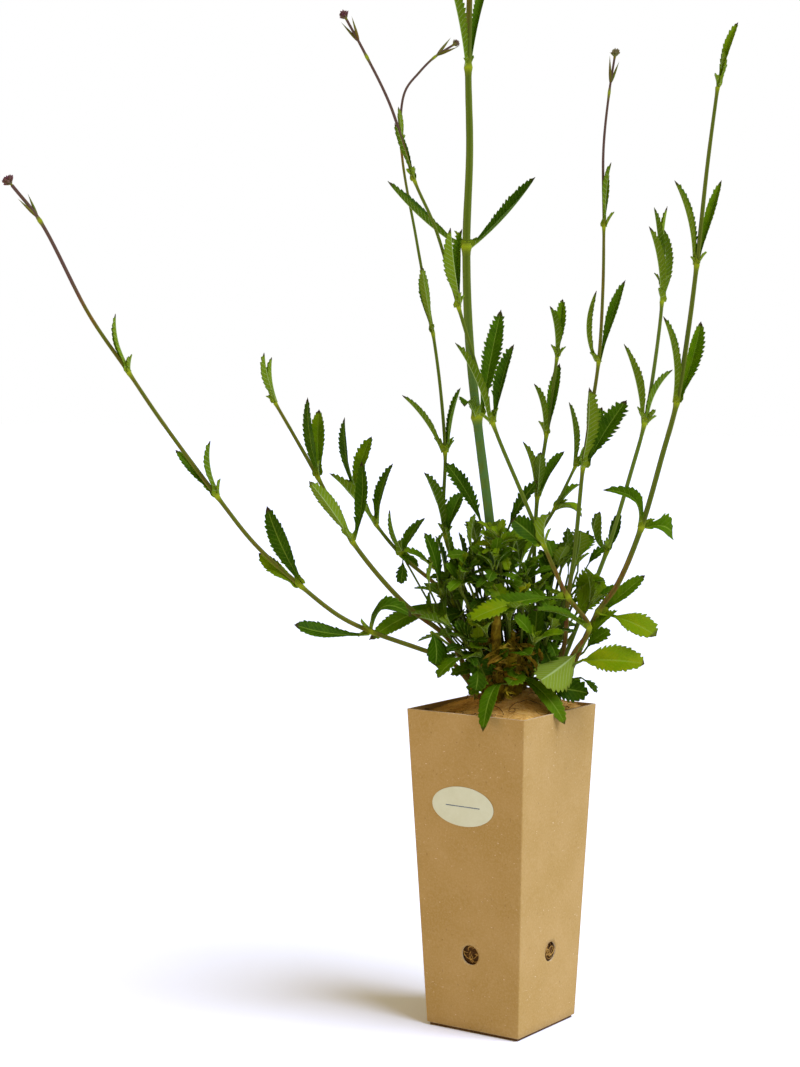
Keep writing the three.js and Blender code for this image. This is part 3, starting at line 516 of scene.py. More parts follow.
def finish_material(tree, colour, roughness, height=None, strength=0.3, distance=0.0002,
                    sheen=0.0, specular=0.5, glow=None, glow_share=0.0):
    """A Principled shader with a bump, and with glow some light from the other side."""
    normal = {}
    if height is not None:
        bump = node(tree, "ShaderNodeBump", Height=height, Strength=strength, Distance=distance)
        normal = {"Normal": bump.outputs[0]}
    shader = node(tree, "ShaderNodeBsdfPrincipled", Base_Color=colour, Roughness=roughness,
                  Specular_IOR_Level=specular, Sheen_Weight=sheen, **normal).outputs[0]
    if glow is not None:
        through = node(tree, "ShaderNodeBsdfTranslucent", Color=glow, **normal).outputs[0]
        mix = tree.nodes.new("ShaderNodeMixShader")
        mix.inputs[0].default_value = glow_share
        tree.links.new(shader, mix.inputs[1])
        tree.links.new(through, mix.inputs[2])
        shader = mix.outputs[0]
    node(tree, "ShaderNodeOutputMaterial", Surface=shader)


# -------- materials
# The two sides of a leaf. Each has its darkest green, then the span of tone over which the next green
# comes in, and the colour of its veins with the shares of it on the midrib and on the side veins.
UPPER_GREENS = ((0.025, 0.066, 0.0005), (0.0, 0.45, (0.072, 0.15, 0.0007)),
                (0.4, 0.8, (0.175, 0.26, 0.0012)), (0.8, 1.1, (0.3, 0.31, 0.004)))
UNDER_GREENS = ((0.08, 0.16, 0.003), (0.0, 0.8, (0.22, 0.31, 0.014)), (0.8, 1.2, (0.225, 0.3, 0.025)))
UPPER_VEINS = ((0.26, 0.36, 0.035), 0.6, 0.25)
UNDER_VEINS = ((0.42, 0.52, 0.18), 0.9, 0.6)
LEAF_FOOT = (0.26, 0.34, 0.012)
LEAF_GLOW = (0.25, 0.42, 0.002)
TIP_PURPLE = (0.052, 0.019, 0.013)


def leaf_material(name, under):
    """Shade is (share of the length, -1 to 1 across, tone); veins counts the side veins."""
    material, tree = new_material(name)
    along, across, tone, veins = shade_values(tree)
    darkest, *greens = UNDER_GREENS if under else UPPER_GREENS
    vein_colour, rib_share, vein_share = UNDER_VEINS if under else UPPER_VEINS
    off_rib = calculate(tree, "ABSOLUTE", across)
    wave = calculate(tree, "ABSOLUTE", calculate(tree, "SUBTRACT", calculate(tree, "FRACT", veins), 0.5))
    side_vein = span(tree, wave, 0.4, 0.49)
    midrib = span(tree, off_rib, 0.09, 0.02)
    net = grain(tree, 900, 2)
    patches = grain(tree, 130, 3)
    tone = calculate(tree, "ADD", tone, product(tree, patches, 0.5))
    tone = calculate(tree, "SUBTRACT", tone, 0.25)
    colour = overlaid(tree, darkest, *((span(tree, tone, low, high), green) for low, high, green in greens))
    on_blade = product(tree, side_vein, span(tree, off_rib, 1.0, 0.7, 0.0, vein_share))
    pale = calculate(tree, "MAXIMUM", product(tree, midrib, rib_share), on_blade)
    edge = product(tree, span(tree, off_rib, 0.88, 1.0), span(tree, patches, 0.4, 0.7))
    tip = product(tree, span(tree, along, 0.94, 0.995), span(tree, patches, 0.3, 0.6, 0.5, 1.0))
    purple = calculate(tree, "MAXIMUM", tip, product(tree, edge, 0.55))
    colour = overlaid(tree, colour, (span(tree, along, 0.15, 0.01, 0.0, 0.85), LEAF_FOOT),
                      (pale, vein_colour), (purple, TIP_PURPLE))
    relief = product(tree, side_vein, 0.6 if under else -0.6)
    relief = calculate(tree, "ADD", relief, product(tree, net, 0.5))
    glow = mixed(tree, 0.45, colour, LEAF_GLOW)
    finish_material(tree, colour, 0.62 if under else 0.5, relief, 0.5, 0.0003,
                    specular=0.03, glow=glow, glow_share=0.4)
    return material


STEM_GREEN = (0.06, 0.09, 0.004)
# Painted highlight on the stem's four corners.
STEM_RIDGE_HIGHLIGHT = (0.13, 0.162, 0.018)
STEM_BLOOM = (0.06, 0.12, 0.025)
STEM_PURPLE = (0.11, 0.034, 0.008)
# Painted highlight on the corners of the purple parts of a stem.
STEM_TAN_HIGHLIGHT = (0.19, 0.125, 0.018)
STALK_DUSK = (0.078, 0.046, 0.036)
NODE_GREEN = (0.22, 0.27, 0.006)


def stem_material():
    """Shade is (ridge, closeness to a node, purple), and veins the bluish bloom, each from 0 to 1. Purple
    from 1 to 2 is the dusky brown of a flower stalk."""
    material, tree = new_material("stem_green")
    ridge, joint, purple, bloom = shade_values(tree)
    streaks = grain(tree, 500, 3, stretch=(1, 1, 0.08))
    mottle = grain(tree, 160, 3)
    hairs = grain(tree, 2500, 2, stretch=(1, 1, 0.4))
    # Painted highlights: the corners are lighter green, and tan where the stem is purple.
    lit_ridge = product(tree, ridge, calculate(tree, "ADD", streaks, 0.1))
    bloomed = product(tree, bloom, span(tree, mottle, 0.2, 0.6))
    blush = product(tree, purple, span(tree, streaks, 0.35, 0.65, 0.3, 1.0))
    tan_highlight = product(tree, ridge, span(tree, mottle, 0.3, 0.6))
    dusk = product(tree, span(tree, purple, 1.0, 2.0, 0.0, 0.9), span(tree, streaks, 0.2, 0.5, 0.6, 1.0))
    flushed = mixed(tree, tan_highlight, STEM_PURPLE, STEM_TAN_HIGHLIGHT)
    colour = overlaid(tree, STEM_GREEN, (lit_ridge, STEM_RIDGE_HIGHLIGHT), (bloomed, STEM_BLOOM), (blush, flushed),
                      (dusk, STALK_DUSK), (joint, NODE_GREEN))
    relief = calculate(tree, "ADD", product(tree, streaks, 0.6), hairs)
    finish_material(tree, colour, 0.55, relief, 0.4, 0.0002, sheen=0.01, specular=0.05)
    return material


BUD_FOOT, BUD_TIP = (0.08, 0.035, 0.02), (0.085, 0.014, 0.028)
BUD_SPECKLE, BUD_GREEN = (0.16, 0.05, 0.07), (0.15, 0.16, 0.035)


def bud_material():
    """Shade is (share of the bud's length, -, green)."""
    material, tree = new_material("bud_maroon")
    along, _, green, _ = shade_values(tree)
    speckle = grain(tree, 1500, 3)
    colour = overlaid(tree, BUD_FOOT, (span(tree, along, 0.2, 0.8), BUD_TIP),
                      (span(tree, speckle, 0.45, 0.75, 0.0, 0.5), BUD_SPECKLE), (green, BUD_GREEN))
    finish_material(tree, colour, 0.7, speckle, 0.5, 0.0002, sheen=0.1, specular=0.1)
    return material


DRY_DARK, DRY_TAN = (0.05, 0.028, 0.001), (0.18, 0.125, 0.004)
DRY_RUST, DRY_STREAK = (0.11, 0.045, 0.006), (0.3, 0.23, 0.02)


def dry_material():
    """Old wood and dead leaves of the crown."""
    material, tree = new_material("dry_wood")
    streaks = grain(tree, 300, 5, stretch=(1, 1, 0.15))
    mottle = grain(tree, 120, 4)
    rust = grain(tree, 60, 2)
    colour = overlaid(tree, DRY_DARK, (span(tree, mottle, 0.35, 0.65), DRY_TAN),
                      (span(tree, rust, 0.45, 0.65, 0.0, 0.6), DRY_RUST),
                      (span(tree, streaks, 0.5, 0.75, 0.0, 0.6), DRY_STREAK))
    finish_material(tree, colour, 0.85, streaks, 0.9, 0.0008, specular=0.04)
    return material


# Coir, each as its dark and light clumps and its strands.
COIR_BLOCK = ((0.45, 0.235, 0.042), (0.69, 0.41, 0.095), (0.76, 0.49, 0.15))
COIR_FINE = ((0.48, 0.25, 0.045), (0.7, 0.42, 0.1), (0.74, 0.48, 0.15))
COIR_PALE = ((0.64, 0.4, 0.11), (0.78, 0.54, 0.18), (0.82, 0.6, 0.25))
# Painted shade: the curls in the pot's holes are a darker coir than that on top.
COIR_CURLS_SHADED = ((0.2, 0.1, 0.02), (0.4, 0.22, 0.05), (0.48, 0.28, 0.08))
COIR_WISPS = ((0.05, 0.022, 0.008), (0.12, 0.055, 0.015), (0.2, 0.1, 0.03))
# Painted shade: the dark colour of the coir low in the pot, where it lies in shade.
COIR_PAINTED_SHADE = (0.09, 0.042, 0.012)
PAINTED_SHADE_HEIGHTS = (0.12, 0.17)  # between these heights the block turns from the painted shade low in the pot to its own colour, metres


def coir_material(name, colours, painted_shade=None):
    """Coir. Where a shade colour is given, the coir turns to it low in the pot, as painted shade."""
    material, tree = new_material(name)
    dark, light, strand = colours
    clumps = grain(tree, 70, 4)
    strands = grain(tree, 900, 4, stretch=(1, 0.35, 1))
    colour = overlaid(tree, dark, (span(tree, clumps, 0.35, 0.65), light),
                      (span(tree, strands, 0.5, 0.75, 0.0, 0.5), strand))
    # Painted shade: the coir is darkened towards the bottom of the pot.
    if painted_shade is not None:
        place = node(tree, "ShaderNodeTexCoord").outputs["Object"]
        height = node(tree, "ShaderNodeSeparateXYZ", Vector=place).outputs["Z"]
        colour = mixed(tree, span(tree, height, *PAINTED_SHADE_HEIGHTS), painted_shade, colour)
    finish_material(tree, colour, 0.95, strands, 0.9, 0.0008, specular=0.08)
    return material


# Boards, each as its base, dark and light.
KRAFT = ((0.385, 0.24, 0.077), (0.345, 0.21, 0.057), (0.46, 0.31, 0.125))
CUT_EDGE = ((0.5, 0.35, 0.17), (0.3, 0.19, 0.08), (0.72, 0.56, 0.33))
# Painted shade: the dark board of the base panel, which shows in shade under the sleeve's edge.
SHADED_BASE_BOARD = ((0.12, 0.062, 0.02), (0.07, 0.035, 0.012), (0.2, 0.12, 0.05))
DARK_FLECK, LIGHT_FLECK = (0.16, 0.085, 0.03), (0.75, 0.6, 0.38)


def board_material(name, colours):
    """Brown board: soft clouds, fine crossing fibres, and sparse dark and light flecks."""
    material, tree = new_material(name)
    base, dark, light = colours
    clouds = grain(tree, 25, 3)
    mottle = grain(tree, 800, 4, 0.6)
    upright = grain(tree, 1100, 3, stretch=(1, 1, 0.14))
    level = grain(tree, 900, 3, stretch=(0.14, 0.14, 1))
    dark_flecks = span(tree, grain(tree, 800, 1, 0.4, (1, 1, 0.5)), 0.72, 0.79)
    light_flecks = span(tree, grain(tree, 900, 1, 0.4, (0.5, 0.5, 1)), 0.73, 0.79)
    fibres = calculate(tree, "MAXIMUM", span(tree, upright, 0.6, 0.8), span(tree, level, 0.62, 0.82))
    colour = overlaid(tree, base, (span(tree, clouds, 0.3, 0.7), dark),
                      (span(tree, mottle, 0.4, 0.7, 0.0, 0.4), light),
                      (span(tree, mottle, 0.45, 0.25, 0.0, 0.4), dark),
                      (product(tree, fibres, 0.3), light),
                      (product(tree, dark_flecks, 0.45), DARK_FLECK),
                      (product(tree, light_flecks, 0.4), LIGHT_FLECK))
    relief = calculate(tree, "ADD", mottle, product(tree, fibres, 0.5))
    finish_material(tree, colour, 0.85, relief, 0.25, 0.0003, sheen=0.02, specular=0.1)
    return material


PAPER, PAPER_CLOUD, PAPER_FIBRE = (0.54, 0.535, 0.35), (0.585, 0.585, 0.405), (0.66, 0.66, 0.5)
INK, WORN_INK = (0.1, 0.13, 0.15), (0.3, 0.33, 0.32)
FLOOR, FLOOR_LIGHT = (0.86, 0.86, 0.86), (0.88, 0.88, 0.88)


def label_material():
    """Plain uncoated paper."""
    material, tree = new_material("label_paper_plain")
    fibres = grain(tree, 800, 4, 0.6)
    clouds = grain(tree, 60, 3)
    colour = overlaid(tree, PAPER, (span(tree, clouds, 0.3, 0.7), PAPER_CLOUD),
                      (span(tree, fibres, 0.5, 0.8, 0.0, 0.3), PAPER_FIBRE))
    finish_material(tree, colour, 0.8, fibres, 0.15, 0.0002, specular=0.3)
    return material


def ink_material():
    material, tree = new_material("label_ink")
    wear = grain(tree, 1500, 2)
    colour = mixed(tree, span(tree, wear, 0.4, 0.8), INK, WORN_INK)
    finish_material(tree, colour, 0.7, wear, 0.1, 0.0001)
    return material


def floor_material():
    material, tree = new_material("studio_floor")
    colour = mixed(tree, grain(tree, 3, 2), FLOOR, FLOOR_LIGHT)
    finish_material(tree, colour, 0.9, specular=0.1)
    return material


LEAF_TOP, LEAF_UNDER, STEM, BUD, DRY = range(5)
PLANT_MATERIALS = [
    leaf_material("leaf_upper", under=False),
    leaf_material("leaf_under", under=True),
    stem_material(),
    bud_material(),
    dry_material(),
]


# -------- leaves
@dataclass
class Leaf:
    """root and reach as in the solids; face is the way that the upper side looks."""
    root: np.ndarray
    reach: np.ndarray
    face: np.ndarray
    width: float
    arch: float
    tone: float = 0.5
    clasp: float = 0.0       # extra half width at the root, where the leaf holds its stem
    fold: float = LEAF_FOLD
    droop: float = 0.0       # how far the tip bends down, mm
    dry: bool = False
    petiole: float = 0.0     # share of the length that is a narrow stalk
    bite: float = 1.0        # depth of the teeth against a stem leaf's
    pitch: float = 3.1       # mm from tooth to tooth
    skew: float = 1.3        # above 1, the widest place is nearer to the tip
    power: float = 0.75      # lower is blunter
    twist: float = 0.35      # most that its tip turns about its length, radians
    tip: float = 1.0         # above 1, more of its tip is purple


def blade_shape(u):
    """Half the width of a blade as a share of its widest, from the root to the tip."""
    return np.sin(math.pi * u ** BLADE_SKEW) ** BLADE_POINT


def blade_point(leaf, u, half):
    across = unit(np.cross(leaf.face, leaf.reach))
    fold = math.radians(LEAF_FOLD)
    lift = leaf.arch * 4 * u * (1 - u) + abs(half) * math.sin(fold)
    return leaf.root + leaf.reach * u + across * half * math.cos(fold) + leaf.face * lift


def leaf_face(reach, tangent, turn):
    """The upper side looks along the stem, turned to the front by an angle."""
    along = unit(reach)
    face = unit(square_to(tangent, along))
    front = unit(square_to(square_to(FRONT, along), face))
    return swung(face, front, math.radians(turn))


TOOTH_ROWS = 3
TOOTH_TOP = 2 / 3            # share of a tooth's length at which it is highest
TOOTH_LEAN = 0.3             # how far its point leans forward, as a share of its length
TOOTH_PLAY = (0.15, 1.5)     # least height of a tooth against the usual, and the most that is added
TOOTH_SINK = 0.35            # share of its height by which it is set in
OTHER_SIDE = 1 / 3           # how far the teeth of the two edges are out of step
TOOTH_DEPTH = 0.17           # as a share of the half blade, and at least
TOOTH_LEAST = 0.42           # this many mm
TEETH_START = 0.26           # share of the length before the first tooth
PETIOLE_TO_TOOTH = 0.12      # share of the length from a petiole's end to the first tooth
FOOT_ROWS = 6                # rows of points before the first tooth
TIP_ROWS = (0.965, 0.985, 0.998)
EDGE_START = 0.72            # the teeth are in the outer band of the half blade
EDGE_WIDTH = 0.28
BLADE_COLUMNS = np.array((-1, -0.9, -0.72, -0.45, -0.1, 0, 0.1, 0.45, 0.72, 0.9, 1))
SMALL_COLUMNS = np.array((-1, -0.72, -0.12, 0, 0.12, 0.72, 1))
SMALL_LEAF = 17              # length below which a leaf has the fewer columns, mm
BLADE_THICKNESS = 0.5
EDGE_THICKNESS = 0.16
TIP_THICKNESS = 0.06
RIB_WIDTH = 0.09             # as a share of the half blade
RIB_DEPTH = 0.55
GROOVE_DEPTH = 0.2           # above the rib
CLASP_PLACE = 1.2            # mm from the root to where the leaf clasps its stem most
CLASP_SPREAD = 3.4
QUILT = 0.16                 # height of the blade between two side veins
VEIN_SLANT = 0.9
FOOT_FOLD = 28               # degrees by which a blade is more folded at its foot
FOOT_REACH = 7               # mm over which that wears off
TIP_FOLD = -8                # degrees by which its fold changes from there to the tip
RIPPLE = (0.25, 0.35)        # least height of the edge's waves, and the most that is added, mm
RIPPLE_LENGTH = 9
SWAY = 0.08                  # range of the tip's bend to one side or the other, as a share of the length


def saw(phase):
    """A rounded tooth that rises slowly and falls at once."""
    share = phase % 1 / TOOTH_TOP
    return np.where(share < 1.01, np.sin(share * math.pi / 2), 0)


def add_leaf(skin, leaf, draw):
    """A toothed, veined blade as a closed thin solid, with a raised rib below."""
    length = np.linalg.norm(leaf.reach)
    start = max(TEETH_START, leaf.petiole + PETIOLE_TO_TOOTH)
    teeth = max(2, round(length * (BLADE_END - start) / leaf.pitch))
    pitch = (BLADE_END - start) / teeth
    foot = np.linspace(0, start, FOOT_ROWS + 1)[:-1]
    comb = start + pitch * np.arange(teeth * TOOTH_ROWS + 1) / TOOTH_ROWS
    rows = np.concatenate([foot, comb, TIP_ROWS])[:, None]
    columns = (SMALL_COLUMNS if length < SMALL_LEAF else BLADE_COLUMNS)[None, :]
    side, off_rib = np.sign(columns), np.abs(columns)

    # Half widths: the plain blade, its teeth, and the foot that clasps the stem.
    on_blade = np.clip((rows - leaf.petiole) / (1 - leaf.petiole), 0, 0.9995)
    outline = np.sin(math.pi * on_blade ** leaf.skew) ** leaf.power
    plain = np.maximum(ROOT_SHARE, outline) * leaf.width / 2
    plain = plain * smooth_step(1.02, 0.96, rows)
    phase = (rows - start) / pitch + OTHER_SIDE * (side > 0)
    inside = (rows >= start) & (rows <= BLADE_END)
    play = np.array([TOOTH_PLAY[0] + TOOTH_PLAY[1] * draw() for _ in range(2 * teeth + 4)])
    which = np.clip(np.floor(phase), 0, teeth + 1).astype(int) + (teeth + 2) * (side > 0)
    height = np.maximum(TOOTH_DEPTH * leaf.width / 2, TOOTH_LEAST) * leaf.bite * play[which]
    outer = np.clip((off_rib - EDGE_START) / EDGE_WIDTH, 0, 1)
    tooth = np.where(inside, saw(phase), 0.0) * outer
    half = off_rib * plain + tooth * height - TOOTH_SINK * outer * inside * height
    hold = leaf.clasp * np.exp(-((rows * length - CLASP_PLACE) / CLASP_SPREAD) ** 2)
    half = half + hold * off_rib

    # The fold, waves and bends.
    along = rows + tooth * TOOTH_LEAN * pitch
    fold = np.radians(leaf.fold + FOOT_FOLD * np.exp(-rows * length / FOOT_REACH) + TIP_FOLD * rows)
    wave = FULL_TURN * draw()
    ripple = RIPPLE[0] + RIPPLE[1] * draw()
    ripple = ripple * np.sin(length / RIPPLE_LENGTH * rows + wave + 1.5 * side)
    sway = (draw() - 0.5) * SWAY * length * rows ** 2
    bend = leaf.arch * 4 * rows * (1 - rows) - leaf.droop * rows ** 2.5
    lift = half * np.sin(fold) + ripple * columns ** 2 * blade_shape(np.minimum(rows, 0.999))
    sideways = side * half * np.cos(fold) + sway
    twist = (leaf.twist * (2 * draw() - 1) * rows)[..., None]
    flat = unit(np.cross(leaf.face, leaf.reach))
    across = flat * np.cos(twist) + leaf.face * np.sin(twist)
    face = leaf.face * np.cos(twist) - flat * np.sin(twist)

    # The side veins with the quilted blade between them, and the thickness.
    vein = (along - start) / pitch - VEIN_SLANT * off_rib * plain / (pitch * length)
    vein = vein + OTHER_SIDE * (side > 0)
    blade = smooth_step(0.1, 0.3, off_rib) * smooth_step(1.0, 0.8, off_rib)
    quilt = QUILT * np.sin(math.pi * (vein % 1)) * blade * smooth_step(0.1, 0.3, rows)
    thick = BLADE_THICKNESS - (BLADE_THICKNESS - EDGE_THICKNESS) * off_rib ** 3
    thick = thick * smooth_step(1.01, 0.93, rows) + TIP_THICKNESS
    at_rib = np.exp(-(columns / RIB_WIDTH) ** 2)
    rib = RIB_DEPTH * (1.25 - rows) * (0.5 + leaf.width / 20) * at_rib
    groove = GROOVE_DEPTH * at_rib * (1 - rows)

    def surface(level):
        return (leaf.root + along[..., None] * leaf.reach + sideways[..., None] * across
                + (lift + level)[..., None] * face + bend[..., None] * leaf.face)
    top = surface(quilt + thick / 2 - groove)
    bottom = surface(quilt - thick / 2 - rib)
    loops = np.concatenate([top, bottom[:, ::-1]], axis=1)
    shade = stacked(rows * leaf.tip, columns, leaf.tone)
    shade = np.concatenate([shade, shade[:, ::-1]], axis=1)
    veins = np.concatenate([vein, vein[:, ::-1]], axis=1)
    count = columns.size
    upper, lower = (DRY, DRY) if leaf.dry else (LEAF_TOP, LEAF_UNDER)
    slots = np.array([upper] * (count - 1) + [lower] * (count + 1))
    skin.add(loops[:, ::-1], slots[::-1], shade[:, ::-1], veins[:, ::-1])


# -------- stems
def spline_point(stations, segment, share):
    """A point of the centripetal Catmull-Rom curve through the stations."""
    last = len(stations) - 1
    p1, p2 = stations[segment], stations[segment + 1]
    p0 = stations[segment - 1] if segment > 0 else 2 * stations[0] - stations[1]
    p3 = stations[segment + 2] if segment + 2 <= last else 2 * stations[last] - stations[last - 1]
    d0, d1, d2 = (math.sqrt(np.linalg.norm(b - a)) for a, b in ((p0, p1), (p1, p2), (p2, p3)))
    leave = ((p1 - p0) / d0 - (p2 - p0) / (d0 + d1) + (p2 - p1) / d1) * d1
    arrive = ((p2 - p1) / d1 - (p3 - p1) / (d1 + d2) + (p3 - p2) / d2) * d1
    return (p1 + share * leave + share ** 2 * (3 * p2 - 3 * p1 - 2 * leave - arrive)
            + share ** 3 * (2 * p1 - 2 * p2 + leave + arrive))


def smooth_route(stations, step):
    """Points of a smooth curve through the stations, about a step apart, and each station's index."""
    points, marks = [stations[0]], [0]
    for i in range(1, len(stations)):
        parts = max(1, math.floor(np.linalg.norm(stations[i] - stations[i - 1]) / step + 0.5))
        points += [spline_point(stations, i - 1, j / parts) for j in range(1, parts + 1)]
        marks.append(len(points) - 1)
    return np.array(points), marks


def tangent_at(points, i):
    return unit(points[min(len(points) - 1, i + 1)] - points[max(0, i - 1)])


def sides_of(tangent, upright=vec(0, 1, 0)):
    """Two directions square to a stem."""
    side = unit(np.cross(upright, tangent))
    return side, np.cross(tangent, side)


def ring_angles(sides):
    return np.arange(sides) * 2 * math.pi / sides


def tube_loops(points, radii, sides, shape=None, upright=vec(0, 1, 0)):
    """Rings round a line. shape gives the share of the radius at each angle."""
    tangents = unit(np.gradient(points, axis=0))
    side, other = sides_of(tangents, upright)
    angles = ring_angles(sides)
    form = np.ones(sides) if shape is None else shape(angles)
    x = (radii[:, None] * form * np.cos(angles))[..., None]
    y = (radii[:, None] * form * np.sin(angles))[..., None]
    return points[:, None] + x * side[:, None] + y * other[:, None]


def squarish(angles):
    """A square stem with rounded corners and hollowed sides."""
    return 0.87 - 0.1 * np.cos(4 * angles) + 0.02 * np.cos(8 * angles)


STEM_SIDES = 16
FINE_STEP = 3.0              # mm from ring to ring of a shown stem


def add_stem(skin, points, radii, joints, purple, bloom=0.0):
    """joints is 0 to 1 at each point, near a node; purple and bloom likewise."""
    loops = tube_loops(points, radii, STEM_SIDES, squarish)
    # 1 at the stem's four corners, where the stem material paints a highlight.
    ridge = 0.5 - 0.5 * np.cos(4 * ring_angles(STEM_SIDES))
    shade = stacked(ridge, joints[:, None], purple[:, None])
    skin.add(loops, STEM, shade, np.broadcast_to(bloom, len(points))[:, None])


# -------- clearance, as in the solids
obstacles = ([], [])         # places and radii of the balls of all long stems and their leaves


def keep_balls(kept, balls):
    for part, more in zip(kept, balls):
        part.append(more)


def stem_balls(points, radii):
    spots, sizes = [], []
    for i in range(1, len(points)):
        parts = math.ceil(np.linalg.norm(points[i] - points[i - 1]) / BALL_SPACING)
        for j in range(parts + 1):
            spots.append(points[i - 1] + (points[i] - points[i - 1]) * j / parts)
            sizes.append(radii[i])
    return np.array(spots), np.array(sizes)


def leaf_balls(leaf):
    spots, sizes = [], []
    for row in range(BLADE_BALLS):
        u = (row + 2) / (BLADE_BALLS + 1)
        half = float(blade_shape(min(u, BLADE_END))) * leaf.width / 2
        for offset in (-BALL_OFFSET, 0, BALL_OFFSET):
            spots.append(blade_point(leaf, u, half * offset))
            sizes.append(half * BLADE_BALL)
    return np.array(spots), np.array(sizes)


def touches(balls, others):
    if len(others[0]) == 0:
        return False
    spots, sizes = (np.concatenate(part) for part in others)
    gaps = np.linalg.norm(balls[0][:, None] - spots[None], axis=-1)
    return bool((gaps < balls[1][:, None] + sizes[None] + BALL_MARGIN).any())


crown_middle = turned(vec(CROWN_X, CROWN_Y, 0), PLANT_TURN)


def soil_height(x, y):
    """The mounded surface of the coir, at a place in the row frame."""
    square = (x - crown_middle[0]) ** 2 + (y - crown_middle[1]) ** 2
    return SOIL_EDGE + MOUND_HEIGHT * np.exp(-square / (2 * MOUND_REACH ** 2))


def coir_top(x, y):
    """The same under a point of the plant's own frame."""
    spot = turned(vec(x, y, 0), PLANT_TURN)
    return float(soil_height(spot[0], spot[1]))


pot_low, pot_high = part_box("pot_sleeve")
POT_HEIGHT = pot_high.z / MM


def is_clear(balls):
    for (x, y, z), radius in zip(*balls):
        if z - radius <= max(coir_top(x, y), POT_HEIGHT) + BALL_MARGIN:
            return False
    return not touches(balls, obstacles)


# -------- long stems
# Heights between which a stem is flushed with purple, mm.
BLUSHES = {
    "stem_mid_left": (228, 300),
    "stem_left_2": (225, 262),
    "stem_left_3": (225, 284),
    "stem_far_left": (205, 230),
    "stem_right_1": (225, 278),
    "stem_right_3": (225, 298),
}
# How brownish some stems are, from 0 to 1, and the height from which they are, mm.
BROWN_STEMS = {
    "stem_far_left": (0.4, 0),
    "stem_left_2": (0.4, 0),
    "stem_right_1": (0.5, 365),
    "stem_right_3": (0.12, 0),
}
FLOWER_BLUSH = 125           # length of purple-brown stalk below a head, mm
BLOOM_TOP = 420              # height below which the main stem has a bluish bloom, mm
# What a shown blade has in place of its solid's, for some leaves, as (stem, station, leaf).
SHOWN_STEM_LEAVES = {
    ("stem_main", 2, 0): dict(bite=1.7, tone=0.2, fold=30, width=12),
    ("stem_main", 4, 0): dict(tone=0.08),
    ("stem_main", 4, 1): dict(tone=0.08),
    ("stem_mid_left", 2, 0): dict(tone=0.4, petiole=0.2, width=14, turn=48, fold=22, power=0.6),
    ("stem_mid_left", 3, 0): dict(reach=vec(-19, -3, 17), tone=0.12, width=14, fold=20, power=0.6),
    ("stem_mid_left", 3, 1): dict(reach=vec(3, -6, 20), tone=0.65, width=16, fold=26),
    ("stem_mid_left", 5, 1): dict(bite=1.5, tone=0.15),
    ("stem_mid_left", 7, 0): dict(width=12, tone=0.6, arch=1),
    ("stem_mid_left", 9, 0): dict(width=4, tone=0.2, arch=0, fold=50),
    ("stem_mid_left", 9, 1): dict(reach=vec(-10, 8, 32), width=3, tone=0.3),
    ("stem_far_left", 2, 0): dict(tone=0.12, turn=50, fold=20, skew=1.8),
    ("stem_far_left", 2, 1): dict(tone=0.15, width=18, fold=16, power=0.6, arch=12),
    ("stem_far_left", 4, 0): dict(tone=0.1, turn=75, fold=15),
    ("stem_far_left", 4, 1): dict(tone=0.7),
    ("stem_left_2", 2, 0): dict(tone=0.6),
    ("stem_left_2", 2, 1): dict(reach=vec(4, 8, 51), arch=-4, tone=0.15, turn=50, fold=28, bite=1.5),
    ("stem_left_2", 3, 0): dict(tone=0.2, turn=75, fold=15, width=12),
    ("stem_left_2", 3, 1): dict(tone=0.6, turn=70, fold=20, width=11),
    ("stem_left_3", 0, 0): dict(tone=0.5, turn=62, width=13, fold=12, bite=0.7),
    ("stem_left_3", 1, 1): dict(tone=0.3, width=14, fold=14, bite=1.4),
    ("stem_left_3", 1, 2): dict(reach=vec(11, 4, -9)),
    ("stem_left_3", 2, 1): dict(width=14, fold=18, bite=1.6, tone=0.25),
    ("stem_left_3", 3, 0): dict(turn=70, width=11, fold=20, tone=0.15, bite=1.3),
    ("stem_left_3", 3, 1): dict(turn=70, width=12, fold=18, tone=0.65, bite=1.3),
    ("stem_back_left", 1, 0): dict(tone=0.1, bite=1.6),
    ("stem_mid_right_2", 1, 1): dict(tone=0.8, width=14, fold=18, arch=4),
    ("stem_right_1", 3, 0): dict(tone=0.5, bite=1.9),
    ("stem_right_1", 3, 1): dict(petiole=0.1, width=13, bite=2.4, fold=24, tone=0.2),
    ("stem_right_2", 1, 0): dict(tone=0.4, width=13, fold=18),
    ("stem_right_3", 0, 0): dict(tone=0.5),
    ("stem_right_3", 0, 1): dict(tone=0.85, petiole=0.3, width=19, fold=16, power=0.55),
    ("stem_right_3", 2, 1): dict(petiole=0.2, width=17, fold=20, power=0.6),
}
# Stems that thin soon, with the radius shown at their tip.
SLIM_STEMS = {"stem_mid_left": 1.0, "stem_right_1": 0.85, "stem_back_left": 0.9, "stem_far_left": 1.35}
THICK_STEM = "stem_main"
SHOWN_FOOT = 0.82            # radius at the foot of every other stem against its solid
STEM_LEAF_TIP = 1.03         # see the tip of a Leaf
SHOWN_TURN = 0.7             # share of a leaf's turn in the solids that the folded blade has
LOW_LEAF, LEAF_RANGE = 250, 450   # over these heights the leaves get lighter and more folded
NODE_GIRTH = 0.38            # by which a shown node is thicker than its stem, as a share
NODE_SPREAD = 2.6            # mm of stem that swell with it
NECK_SPREAD = 1.8            # mm, at the node below a head
STEM_TUFT, SHOOT_TUFT = 9, 11   # length of the leaves at a tip, mm


def stem_leaf(station, tangent, radius, dx, dy, dz, width, turn, arch):
    lean = vec(dx, dy, dz)
    outward = unit(square_to(lean, tangent))
    root = station + outward * radius * LEAF_ROOT
    reach = station + lean - root
    return Leaf(root, reach, leaf_face(reach, tangent, turn), width, arch)


